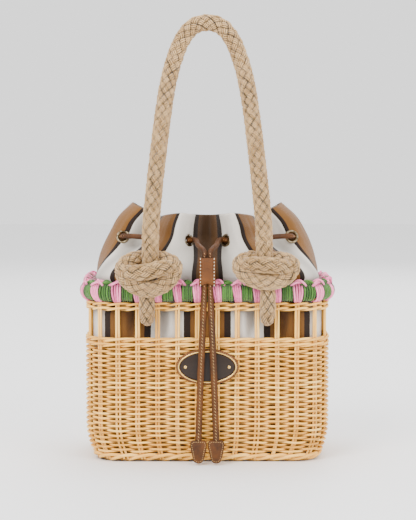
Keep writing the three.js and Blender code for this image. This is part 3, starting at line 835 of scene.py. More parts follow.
class RingTree(Tree):
    """The same turned ring at each of a guide's points, facing the way that the point says."""

    def __init__(self) -> None:
        """Makes the tree."""
        super().__init__("rings_on_points", {
            "Hole Radius": 4.6 * MM, "Outer Radius": 7.7 * MM, "Thickness": 2.6 * MM,
            "Sides": 28, "Material": None,
        })
        graph, given = self.graph, self.input
        middle = (given("Hole Radius") + given("Outer Radius")) * 0.5
        circle = self.circle(given("Sides"), middle)
        section = self.circle(10)
        width = given("Outer Radius") - given("Hole Radius")
        size = graph.vector(given("Thickness"), width, 1.0)
        upright = graph.add("GeometryNodeSetCurveNormal", {"mode": "Z_UP"}, {"Curve": circle})
        profile = graph.add("GeometryNodeTransform", None, {"Geometry": section, "Scale": size})
        ring = graph.add("GeometryNodeCurveToMesh", None, {"Curve": upright, "Profile Curve": profile})
        facing = self.carried("facing", "FLOAT_VECTOR")
        axes = {"primary_axis": "Z", "secondary_axis": "X"}
        turned = graph.add("FunctionNodeAxesToRotation", axes, {0: facing, 1: (0.0, 0.0, 1.0)})
        values = {"Points": given("Geometry"), "Instance": ring, "Rotation": turned}
        self.end(graph.add("GeometryNodeInstanceOnPoints", None, values))


# Plain meshes

def piece_from(name: str, mesh: bpy.types.Mesh, finish: Finish) -> Piece:
    """An object with a mesh and its finish, smoothly shaded."""
    mesh.materials.clear()
    mesh.materials.append(finish.make())
    mesh.shade_smooth()
    return new_object(name, mesh)


def slab(
    name: str, outline: Array, thick: float, rounding: float, finish: Finish, place: Matrix
) -> Piece:
    """A flat piece with rounded edges.

    Args:
        name: The piece's name.
        outline: Its outline, in its own plane.
        thick: Its thickness, half of it on each side of the plane.
        rounding: The radius of its edges.
        finish: Its finish.
        place: Where its plane is.

    Returns:
        The piece.
    """
    work = bmesh.new()
    corners = [work.verts.new((x, y, -thick / 2)) for x, y in outline]
    bottom = work.faces.new(corners)
    grown = bmesh.ops.extrude_face_region(work, geom=[bottom])
    raised = [item for item in grown["geom"] if isinstance(item, bmesh.types.BMVert)]
    bmesh.ops.translate(work, verts=raised, vec=(0, 0, thick))
    bmesh.ops.recalc_face_normals(work, faces=work.faces)
    rims = [edge for edge in work.edges if abs(edge.verts[0].co.z - edge.verts[1].co.z) < thick / 4]
    bmesh.ops.bevel(
        work, geom=rims, offset=rounding, segments=3, profile=0.5, affect="EDGES", clamp_overlap=True
    )
    caps = [face for face in work.faces if len(face.verts) > 4]
    bmesh.ops.triangulate(work, faces=caps)
    bmesh.ops.transform(work, matrix=place, verts=work.verts)
    bmesh.ops.recalc_face_normals(work, faces=work.faces)
    mesh = bpy.data.meshes.new(name)
    work.to_mesh(mesh)
    work.free()
    return piece_from(name, mesh, finish)


def ring_mesh(name: str, rings: Array) -> bpy.types.Mesh:
    """A mesh through rings of points, whose last ring leads to the first.

    Args:
        name: The mesh's name.
        rings: The points, ring by ring.

    Returns:
        The mesh, with its faces outwards.
    """
    count, around = rings.shape[:2]
    low = np.arange(count * around).reshape(count, around)
    high = np.roll(low, -1, axis=0)
    quads = np.stack([low, np.roll(low, -1, axis=1), np.roll(high, -1, axis=1), high], axis=-1)
    mesh = bpy.data.meshes.new(name)
    mesh.from_pydata(rings.reshape(-1, 3), [], quads.reshape(-1, 4).tolist())
    work = bmesh.new()
    work.from_mesh(mesh)
    bmesh.ops.recalc_face_normals(work, faces=work.faces)
    work.to_mesh(mesh)
    work.free()
    return mesh


def keep(piece: Piece, nodes: Iterable[str] = ()) -> Piece:
    """Puts a piece on the body and hides the solids that it stands for.

    Args:
        piece: The piece.
        nodes: The solids that it replaces.

    Returns:
        The piece.
    """
    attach(piece, BODY)
    if nodes:
        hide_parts(*nodes)
    return piece


def corners(node: str) -> tuple[Vector, Vector]:
    """A solid's lowest and highest corners."""
    low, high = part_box(node)
    return Vector(low), Vector(high)


# The object

@dataclass
class Studio:
    """The camera, the pale floor and the soft lights."""

    distance: float = 1.8
    elevation: float = math.radians(3.5)
    target: tuple[float, float, float] = (0.0007, -0.04, 0.2067)
    frame_height: float = 0.5408  # what the picture's height spans at the target
    sensor: float = 36.0
    clip_end: float = 40.0
    floor_size: float = 12.0
    floor_shade: float = 0.9
    floor_roughness: float = 0.7
    sky: float = 1.6
    lit_point: tuple[float, float, float] = (0.0, 0.0, 0.2)
    # name, place, size and power
    lamps: tuple = (
        ("key", (-1.3, -2.2, 2.0), 1.6, 92.0),
        ("fill", (1.7, -2.0, 1.1), 1.8, 44.0),
        ("top", (0.1, 0.3, 2.6), 1.8, 40.0),
        ("back", (0.4, 2.4, 1.6), 1.6, 30.0),
    )

    def build(self) -> list[Piece]:
        """Makes the camera, the floor, the lights and the sky.

        Returns:
            The floor, which is the one visible thing here.
        """
        self._camera()
        self._lights()
        return [self._floor()]

    def _camera(self) -> None:
        """Sets the camera at the picture's angle."""
        data = bpy.data.cameras.new("camera")
        data.sensor_width = self.sensor
        data.sensor_fit = "AUTO"
        data.lens = self.sensor * self.distance / self.frame_height
        data.clip_end = self.clip_end
        camera = new_object("camera", data)
        back = Vector((0, -math.cos(self.elevation), math.sin(self.elevation)))
        camera.location = Vector(self.target) + back * self.distance
        camera.rotation_euler = (-back).to_track_quat("-Z", "Y").to_euler()
        bpy.context.scene.camera = camera

    def _lights(self) -> None:
        """Adds the lamps and an even sky."""
        for name, place, size, power in self.lamps:
            data = bpy.data.lights.new(name, "AREA")
            data.shape = "DISK"
            data.size = size
            data.energy = power
            lamp = new_object(name, data)
            lamp.location = place
            lamp.rotation_euler = (Vector(self.lit_point) - Vector(place)).to_track_quat("-Z", "Y").to_euler()
        world = bpy.data.worlds.new("sky")
        bpy.context.scene.world = world
        world.use_nodes = True
        sky = world.node_tree.nodes["Background"]
        sky.inputs["Color"].default_value = (1.0, 1.0, 1.0, 1.0)
        sky.inputs["Strength"].default_value = self.sky

    def _floor(self) -> Piece:
        """The pale floor."""
        half = self.floor_size / 2
        mesh = bpy.data.meshes.new("floor")
        sides = ((-1, -1), (1, -1), (1, 1), (-1, 1))
        mesh.from_pydata([(x * half, y * half, 0) for x, y in sides], [], [range(4)])
        material = bpy.data.materials.new("pale_floor")
        material.use_nodes = True
        shader = next(node for node in material.node_tree.nodes if node.type == "BSDF_PRINCIPLED")
        shader.inputs["Base Color"].default_value = (*[self.floor_shade] * 3, 1.0)
        shader.inputs["Roughness"].default_value = self.floor_roughness
        mesh.materials.append(material)
        floor = new_object("floor", mesh)
        return floor


@dataclass
class Outline:
    """The basket's rounded outline and how its wall stands in towards the foot."""

    half_width: float = 127 * MM
    half_depth: float = 79 * MM
    radius: float = 39 * MM
    middle_line: float = -3.8 * MM
    foot_inset: float = 11 * MM
    rounding_height: float = 40 * MM
    pairs: int = 36

    def at(self, offset: float | Array, turn: float | Array) -> tuple[Array, Array]:
        """Points of the outline.

        Args:
            offset: How far they are moved outwards.
            turn: The shares of the way round from the middle of the front.

        Returns:
            The points and the outward directions, both level and in two dimensions.
        """
        return rounded(self.half_width + offset, self.half_depth + offset, self.radius + offset, turn)

    def inset(self, height: float | Array) -> float | Array:
        """How far the wall stands in at a height."""
        return self.foot_inset * (1 - np.clip(height / self.rounding_height, 0, 1)) ** 2


def rounded(half_width: Value, half_depth: Value, radius: Value, turn: Value) -> tuple[Array, Array]:
    """Points of a rounded rectangle by the share of the way round.

    Args:
        half_width: Half its width.
        half_depth: Half its depth.
        radius: The radius of its corners.
        turn: The shares of the way round from the middle of the front.

    Returns:
        The points and the outward directions, in two dimensions.
    """
    turn = np.asarray(turn, dtype=float) % 1.0
    straight_x = half_width - radius
    straight_y = half_depth - radius
    arc = radius * math.pi / 2
    share = 1 - np.abs((turn * 4) % 2 - 1)
    way = share * (straight_x + arc + straight_y)
    angle = np.clip((way - straight_x) / arc, 0, 1) * math.pi / 2
    side = np.where(turn < 0.5, 1, -1)
    face = np.where(np.abs(turn - 0.5) > 0.25, 1, -1) * FRONT
    x = np.minimum(way, straight_x) + radius * np.sin(angle)
    y = straight_y + radius * np.cos(angle) - np.maximum(0, way - straight_x - arc)
    points = np.stack([side * x, face * y], axis=-1)
    normals = np.stack([side * np.sin(angle), face * np.cos(angle)], axis=-1)
    return points, normals


@dataclass
class Basket:
    """The wicker: its floor, foot, close weave, wales and bare stakes."""

    outline: Outline
    rods: RodTree
    weave: WeaveTree
    rod: float = 2.5 * MM
    stake: float = 2.45 * MM
    stake_gap: float = 2.7 * MM
    stake_low: float = 3 * MM
    stake_in_rim: float = 5 * MM
    stake_lean: float = 0.25 * MM
    rows: int = 44
    relief: float = 2.45 * MM
    weave_below: float = 11 * MM  # from the wall's top to the end of the close weave
    base_pitch: float = 3.9 * MM
    base_relief: float = 1.45 * MM
    base_spacing: float = math.tau * 3.2 * MM  # from one pair of the floor's stakes to the next
    base_pairs: int = 5  # on each side of the middle pair
    base_tighter: float = 8 * MM  # how much smaller the floor's corners are than the foot's
    # how far below the top, how many strands, how far they move out and up, and their thickness
    wall_wales: tuple = (
        (8.4 * MM, 3, 2.7 * MM, 1.5 * MM, 2.6 * MM),
        (3.3 * MM, 3, 2.7 * MM, 1.6 * MM, 2.8 * MM),
    )
    open_wales: tuple = (
        (2.5 * MM, 2, 2.5 * MM, 1.2 * MM, 2.5 * MM),
        (7.2 * MM, 2, 2.5 * MM, 1.2 * MM, 2.5 * MM),
    )
    foot_twist: tuple = (3, 2.2 * MM, 2.6 * MM, 3.9 * MM)
    seed: int = 11
    dice: np.random.Generator = field(init=False)

    def __post_init__(self) -> None:
        """Seeds the draws."""
        self.dice = np.random.default_rng(self.seed)

    def build(self) -> list[Piece]:
        """Makes the basket's pieces.

        Returns:
            The pieces.
        """
        return [self._wall(), self._wall_wale(), *self._openwork(), self._foot(), self._base()]

    def _rods(
        self, name: str, lines: Sequence[Line], finish: Finish, nodes: Iterable[str], sides: int = 6
    ) -> Piece:
        """Rods along lines, as a kept piece of wicker."""
        return keep(self.rods.grow(name, lines, finish, sides=sides), nodes)

    def _twined(self, level: float, strands: int, radial: float, rise: float, thick: float) -> list[Line]:
        """A wale: strands that go in front of all stake pairs but one of as many as there are strands.

        Args:
            level: The height of its middle.
            strands: How many strands there are.
            radial: How far the strands move out and in.
            rise: How far they move up and down.
            thick: How thick a strand is.

        Returns:
            The strands' lines.
        """
        pairs = self.outline.pairs
        turn = np.arange(pairs * 8) / (pairs * 8)
        lines = []
        for strand in range(strands):
            angle = math.tau * ((turn * pairs - 0.5) / strands + strand / strands)
            height = level + rise * np.sin(angle + 0.6)
            wave = np.sin(np.cos(angle) * math.pi / 2)
            offset = self.outline.middle_line - self.outline.inset(height) + radial * wave
            points, _ = self.outline.at(offset, turn)
            way = np.column_stack([points, height])
            tint = self.dice.uniform(0.3, 0.9)
            # painted shade where a strand goes behind the stakes
            lines.append(Line(way, thick, True, tint, (1 - wave) / 2))
        return lines

    def _wall(self) -> Piece:
        """The close plain weave."""
        low, high = corners("foot_wale")[1].z, corners("basket_wall")[1].z - self.weave_below
        outline = self.outline
        piece = self.weave.grow(
            "wall_weave", [], WOVEN, rows=self.rows, bottom=low, row_pitch=(high - low) / self.rows,
            relief=self.relief, stake_pairs=outline.pairs, half_width=outline.half_width,
            half_depth=outline.half_depth, corner_radius=outline.radius, middle_line=outline.middle_line,
            foot_inset=outline.foot_inset, rounding_height=outline.rounding_height,
        )
        return keep(piece, ["basket_wall"])

    def _wall_wale(self) -> Piece:
        """The three-rod wale that ends the close weave."""
        top = corners("basket_wall")[1].z
        lines = [line for below, *sizes in self.wall_wales for line in self._twined(top - below, *sizes)]
        return self._rods("wall_wale", lines, WOVEN, [])

    def _openwork(self) -> list[Piece]:
        """The stakes, two and two, and the two twined rows that hold their tops."""
        low, high = corners("openwork_band")
        rows = [line for below, *sizes in self.open_wales for line in self._twined(high.z - below, *sizes)]
        wale = self._rods("openwork_wale", rows, WOVEN, [])
        heights = np.linspace(self.stake_low, high.z + self.stake_in_rim, 22)
        stakes = []
        for pair in range(self.outline.pairs):
            for side in (-0.5, 0.5):
                lean = self.dice.normal(0, self.stake_lean)
                points, normals = self.outline.at(
                    self.outline.middle_line - self.outline.inset(heights), (pair + 0.5) / self.outline.pairs
                )
                across = np.stack([-normals[..., 1], normals[..., 0]], axis=-1)
                shift = side * self.stake_gap + lean * (heights - low.z) / (high.z - low.z)
                points = points + across * shift[:, None]
                way = np.column_stack([points, heights])
                thick = self.stake * self.dice.uniform(0.94, 1.06)
                stakes.append(Line(way, thick, tint=self.dice.uniform(0.2, 1)))
        return [wale, self._rods("openwork_stakes", stakes, STAKED, ["openwork_band"], 8)]

    def _foot(self) -> Piece:
        """The twisted band round the foot."""
        lines = self._twined(corners("foot_wale")[1].z / 2, *self.foot_twist)
        return self._rods("foot_twist", lines, WOVEN, ["foot_wale"])

    def _base(self) -> Piece:
        """The woven floor: rods from side to side over and under stakes from front to back."""
        low, high = corners("basket_base")
        half_x, half_y = high.x - self.rod, high.y - self.rod
        radius = self.outline.radius - self.outline.foot_inset - self.base_tighter
        lines = []
        count = int(half_y / self.base_pitch)
        for row in range(-count, count + 1):
            y = row * self.base_pitch
            reach = half_x - inset_of_corner(abs(y), half_y, radius)
            x = np.linspace(-reach, reach, 60)
            wave = np.cos(math.pi * (x / self.base_spacing + row))
            way = np.column_stack([x, np.full_like(x, y), high.z / 2 + self.base_relief * wave])
            # painted shade where a rod dips under a stake
            lines.append(Line(way, self.rod, tint=self.dice.uniform(0.2, 0.9), deep=(1 + wave) / 3))
        for column in range(-self.base_pairs, self.base_pairs + 1):
            for side in (-0.5, 0.5):
                x = column * self.base_spacing + side * self.stake_gap
                reach = half_y - inset_of_corner(abs(x), half_x, radius)
                y = np.linspace(-reach, reach, 12)
                way = np.column_stack([np.full_like(y, x), y, np.full_like(y, high.z / 2)])
                # the floor's stakes get an even half of painted shade
                lines.append(Line(way, self.stake, tint=self.dice.uniform(0.2, 0.9), deep=0.5))
        return self._rods("base_weave", lines, WOVEN, ["basket_base"])


def inset_of_corner(place: float, half: float, radius: float) -> float:
    """How much shorter a row is where the corner's rounding cuts it."""
    past = max(0.0, place - (half - radius))
    return radius - math.sqrt(max(0.0, radius**2 - past**2))


@dataclass
class Rim:
    """The padded roll, its raffia wraps and the knots along its top."""

    outline: Outline
    rods: RodTree
    pink_cords: int = 4
    green_cords: int = 5
    pink_width: float = 9.3 * MM
    cord: float = 2.15 * MM
    dip: float = 1.3 * MM
    lean: float = 2.0 * MM
    knot_cord: float = 2.4 * MM
    # tone, middle, from and to along the rim in mm, from and to angle, lift in mm
    knots: tuple = (
        (1.0, 0.5, -6.4, 6.2, 48, 80, 2.2),
        (1.0, 0.5, -5.4, 6.8, 60, 94, 2.6),
        (1.0, 0.5, -3.4, 7.6, 90, 52, 4.4),
        (1.0, 0.5, -5.6, 5.2, 94, 62, 1.0),
        (0.0, 1.0, -6.6, 5.4, 58, 86, 2.2),
        (0.0, 1.0, -6.0, 6.4, 88, 60, 3.4),
        (0.0, 1.0, -2.4, 7.2, 70, 78, 1.2),
    )
    seed: int = 5
    dice: np.random.Generator = field(init=False)
    radius: float = field(init=False)
    level: float = field(init=False)

    def __post_init__(self) -> None:
        """Seeds the draws and reads the roll's size."""
        self.dice = np.random.default_rng(self.seed)
        low, high = corners("rim_roll")
        self.radius = (high.z - low.z) / 2
        self.level = (high.z + low.z) / 2

    def build(self) -> list[Piece]:
        """Makes the wraps and the knots.

        Returns:
            The pieces.
        """
        wraps = self.rods.grow("rim_wraps", self._wraps(), RAFFIA, sides=6)
        knots = self.rods.grow("rim_knots", self._knots(), RAFFIA, sides=6)
        return [keep(wraps, ["rim_roll"]), keep(knots)]

    def _on_roll(self, turn: float, aside: Array, angle: Array, lift: Array) -> Array:
        """Points on the roll.

        Args:
            turn: The share of the way round.
            aside: How far along the rim from there.
            angle: The angle round the roll, 0 outwards and a quarter turn upwards.
            lift: The distance from the roll's middle line.

        Returns:
            The points.
        """
        perimeter = self._perimeter()
        points, normals = self.outline.at(self.outline.middle_line, turn + aside / perimeter)
        level = points + normals * (np.cos(angle) * lift)[:, None]
        return np.column_stack([level, self.level + np.sin(angle) * lift])

    def _perimeter(self) -> float:
        """The length of the rim's middle line."""
        straight = self.outline.half_width + self.outline.half_depth - 2 * self.outline.radius
        return 4 * straight + math.tau * (self.outline.radius + self.outline.middle_line)

    def _wraps(self) -> list[Line]:
        """Pink cords over each stake pair and green ones between, once round the roll each."""
        angle = np.linspace(0, math.tau, 16, endpoint=False) + math.pi / 2
        low = (1 - np.sin(angle)) / 2
        spacing = self._perimeter() / self.outline.pairs
        lines = []
        for pair in range(self.outline.pairs):
            for tone, count, width, middle in (
                (1.0, self.pink_cords, self.pink_width, 0.5),
                (0.0, self.green_cords, spacing - self.pink_width, 1.0),
            ):
                lean = self.lean * self.dice.uniform(0.2, 1.3) if tone else 0.0
                for cord in range(count):
                    place = (cord - (count - 1) / 2) * width / count
                    narrow = 0.3 * low**2 if tone else 0.0
                    aside = place * (1 - narrow) + lean * (low - 0.5) + self.dice.normal(0, 0.12 * MM)
                    lift = np.full_like(angle, self.radius - self.cord * 0.42)
                    lift += self.dice.uniform(0, 0.35 * MM) + (self.dip * low**3 if tone else 0.0)
                    way = self._on_roll((pair + middle) / self.outline.pairs, aside, angle, lift)
                    edge = abs(cord - (count - 1) / 2) / count
                    # painted shade at the edges of each band of cords and near the roll's top, under the
                    # knots
                    deep = edge * 0.6 + smooth_share((np.sin(angle) - 0.5) / 0.25) * 0.6
                    lines.append(Line(way, self.cord, True, self.dice.uniform(0.2, 1), deep, tone))
        return lines + [self._core()]

    def _core(self) -> Line:
        """The padding inside the wraps, coloured full painted shade so that it darkens the gaps between the
        cords.
        """
        turn = np.arange(144) / 144
        points, _ = self.outline.at(self.outline.middle_line, turn)
        way = np.column_stack([points, np.full(144, self.level)])
        return Line(way, (self.radius - self.cord * 0.8) * 2, True, 0.2, 1.0, 0.0)

    def _knots(self) -> list[Line]:
        """Pink crossings over the pink wraps and green chains between, along the roll's upper edge."""
        lines = []
        share = np.linspace(0, 1, 10)
        bow = np.sin(share * math.pi)
        for pair in range(self.outline.pairs):
            for tone, middle, left, right, start, stop, lift in self.knots:
                aside = (left + (right - left) * share) * MM + self.dice.normal(0, 0.6 * MM)
                angle = np.radians(start + (stop - start) * share + self.dice.normal(0, 4))
                height = self.radius - 0.4 * MM + bow * lift * MM
                way = self._on_roll((pair + middle) / self.outline.pairs, aside, angle, height)
                tint = self.dice.uniform(0.3, 1)
                # painted shade at the knot's ends, where they tuck under
                lines.append(Line(way, self.knot_cord, False, tint, 0.7 * (1 - bow), tone))
        return lines


@dataclass
class Braid:
    """A round braid of strands, each a flat bundle of yarns, over one strand and under the next."""

    strands: int = 6  # each way round
    yarns: int = 3
    lay: float = 64 * MM
    thick: float = 18.6 * MM
    yarn: float = 1.85 * MM
    relief: float = 1.35 * MM
    cover: float = 0.9
    crown: float = 0.8 * MM
    loose: float = 0.07
    step: float = 1.75 * MM

    def lines(self, points: Array, thick: Array, closed: bool, dice: np.random.Generator) -> list[Line]:
        """The yarns of a rope, and its core.

        Args:
            points: The rope's way.
            thick: Its thickness at each of them.
            closed: True for a ring.
            dice: Draws the tints.

        Returns:
            The lines.
        """
        way, size = smooth_way(points, self.step, closed, thick)
        scale = size[:, 0] / self.thick
        across, upwards = frames_along(way, closed)
        cells = self._cells(way, closed)
        middle = self.thick / 2 - self.relief - self.yarn / 2
        # a core in full painted shade, which darkens the gaps between the yarns
        lines = [Line(way, scale * (middle - self.relief) * 2, deep=1.0)]
        for direction in (1, -1):
            for strand in range(self.strands):
                tint = dice.uniform(0, 1)
                stray = self.loose * np.sin(cells * dice.uniform(0.5, 1.3) + dice.uniform(0, math.tau))
                for yarn in range(self.yarns):
                    aside = (yarn - (self.yarns - 1) / 2) / self.yarns * self.cover
                    angle = math.tau * (strand + aside + stray + direction * cells) / self.strands
                    swing = direction * np.cos(math.tau * cells + direction * math.pi * aside)
                    wave = np.sin(swing * math.pi / 2)
                    edge = (2 * aside) ** 2
                    reach = scale * (middle + self.relief * wave - self.crown * edge)
                    yarn_way = way + across * (np.cos(angle) * reach)[:, None]
                    yarn_way += upwards * (np.sin(angle) * reach)[:, None]
                    # painted shade where a yarn dives under the other strands and in the grooves between
                    # strands
                    deep = np.clip(1 - wave, 0, 1) * 0.8 + edge * 0.4
                    shade = tint * 0.4 + dice.uniform(0, 0.6)
                    lines.append(Line(yarn_way, scale * self.yarn, False, shade, deep))
        return lines

    def _cells(self, way: Array, closed: bool) -> Array:
        """How many cells of the braid lie before each step, a whole number of them in a ring."""
        length = np.concatenate([[0], np.cumsum(np.linalg.norm(np.diff(way, axis=0), axis=1))])
        count = length[-1] / self.lay * self.strands
        return length / length[-1] * (round(count) if closed else count)


@dataclass
class Handle:
    """The rope arch and the two knots that hold it to the rim."""

    outline: Outline
    rods: RodTree
    braid: Braid
    rim_thick: float = 18.6 * MM
    windows_out: int = 3  # from the middle of the front to a knot's window
    knot_aside: float = -1.7 * MM
    knot_rope: float = 0.957  # the thickness of a knot's rope as a share of the arch's
    seed: int = 23
    # aside, out and up as shares of lap, the distance between the rim's middle and the rope's
    # where they touch, and the thickness as a share of the rope's
    turn: tuple = (
        (-0.18, 0.59, 2.15, 1),
        (-0.18, 0.67, 1.61, 1),
        (-0.16, 0.72, 0.97, 0.91),
        (-0.11, 0.81, 0.27, 0.86),
        (0, 0.98, -0.43, 0.9),
        (0, 0.91, -0.97, 0.92),
        (0, 0.71, -1.45, 0.92),
        (0, 0.48, -1.88, 0.84),
        (0, 0, -2.02, 0.64),
        (0, -0.43, -1.86, 0.64),
        (0, -0.78, -1.4, 0.64),
        (0, -0.9, -0.52, 0.64),
        (0, -0.65, 0.27, 0.68),
        (0, -0.11, 0.63, 0.75),
        (-0.05, 0.38, 0.75, 0.81),
    )
    # along, out, up on the left and up on the right, as shares of lap
    loop: tuple = (
        (0, 1.32, -0.24, 0.16),
        (0.75, 1.21, -0.03, 0.27),
        (1.29, 0.97, 0.48, 0.65),
        (1.4, 0.65, 0.97, 1.08),
        (0.91, 0.27, 1.29, 1.29),
        (0, -0.05, 1.34, 1.29),
        (-0.91, 0.27, 1.29, 1.34),
        (-1.4, 0.65, 0.91, 1.13),
        (-1.29, 0.97, 0.43, 0.7),
        (-0.75, 1.21, -0.05, 0.32),
    )
    bight: tuple = (
        (-1.24, 0.81, 0.59, 0.97),
        (-0.7, 1.38, 0.65, 1.1),
        (0, 1.62, 0.75, 1.1),
        (0.7, 1.45, 0.91, 1.02),
        (1.24, 0.81, 0.91, 0.86),
    )
    # half, out and up as shares of the way from the knot to the top of the arch
    arch: tuple = (
        (0.99, 0.96, 0.087),
        (0.952, 0.908, 0.196),
        (0.917, 0.848, 0.288),
        (0.872, 0.753, 0.393),
        (0.824, 0.631, 0.502),
        (0.77, 0.502, 0.611),
        (0.702, 0.36, 0.72),
        (0.599, 0.217, 0.825),
        (0.439, 0.095, 0.926),
        (0.235, 0.023, 0.985),
    )
    arch_top: tuple = (0.0, -12.5 * MM, 454 * MM)
    dice: np.random.Generator = field(init=False)
    lap: float = field(init=False)
    rim_front: float = field(init=False)
    rim_top: float = field(init=False)
    window_x: float = field(init=False)

    def __post_init__(self) -> None:
        """Works out where the knots are."""
        self.dice = np.random.default_rng(self.seed)
        self.lap = (self.rim_thick + self.braid.thick) / 2
        self.rim_front = FRONT * (self.outline.half_depth + self.outline.middle_line)
        self.rim_top = corners("rim_roll")[1].z
        points, _ = self.outline.at(self.outline.middle_line, self.windows_out / self.outline.pairs)
        self.window_x = float(points[0])

    def build(self) -> list[Piece]:
        """Makes the arch and the knots.

        Returns:
            The pieces.
        """
        points = self._arch_points()
        lines = self.braid.lines(points, np.full(len(points), self.braid.thick), False, self.dice)
        arch = self._rope("handle_braid", lines, "handle_rope")
        return [arch, self._knot("left", -1), self._knot("right", 1)]

    def _rope(self, name: str, lines: list[Line], node: str) -> Piece:
        """Yarns along lines, as a kept piece of rope."""
        return keep(self.rods.grow(name, lines, ROPE, sides=4), [node])

    def _place(self, x: float, aside: float, out: float, up: float) -> tuple[float, float, float]:
        """A point of a knot."""
        return x + aside * self.lap, self.rim_front + FRONT * out * self.lap, self.rim_top + up * self.lap

    def _turn(self, side: int) -> Array:
        """The points of one end's turn round the rim."""
        x = side * self.window_x
        return np.array([self._place(x, side * aside, out, up) for aside, out, up, _ in self.turn])

    def _arch_points(self) -> Array:
        """The points of the arch, from the right knot to the left one."""
        first = self._turn(1)
        away = first[0] - first[1]
        foot = first[0] + away / np.linalg.norm(away) * TOUCH
        top = np.array(self.arch_top)
        half = [
            (foot[0] * half, top[1] + (foot[1] - top[1]) * out, foot[2] + (top[2] - foot[2]) * up)
            for half, out, up in self.arch
        ]
        right = np.array([foot, *half])
        return np.vstack([right, top, right[::-1] * (-1, 1, 1)])

    def _knot(self, word: str, side: int) -> Piece:
        """One knot: the turn round the rim, the ring and the bight across it."""
        column = 2 if side < 0 else 3
        knot_x = side * (self.window_x + self.knot_aside)
        thick = self.braid.thick
        turn_sizes = np.array([row[3] for row in self.turn]) * thick
        lines = self.braid.lines(self._turn(side), turn_sizes, False, self.dice)
        for table, closed in ((self.loop, True), (self.bight, False)):
            points = np.array([self._place(knot_x, row[0], row[1], row[column]) for row in table])
            sizes = np.full(len(points), self.knot_rope * thick)
            lines += self.braid.lines(points, sizes, closed, self.dice)
        return self._rope(f"knot_braid_{word}", lines, f"handle_knot_{word}")


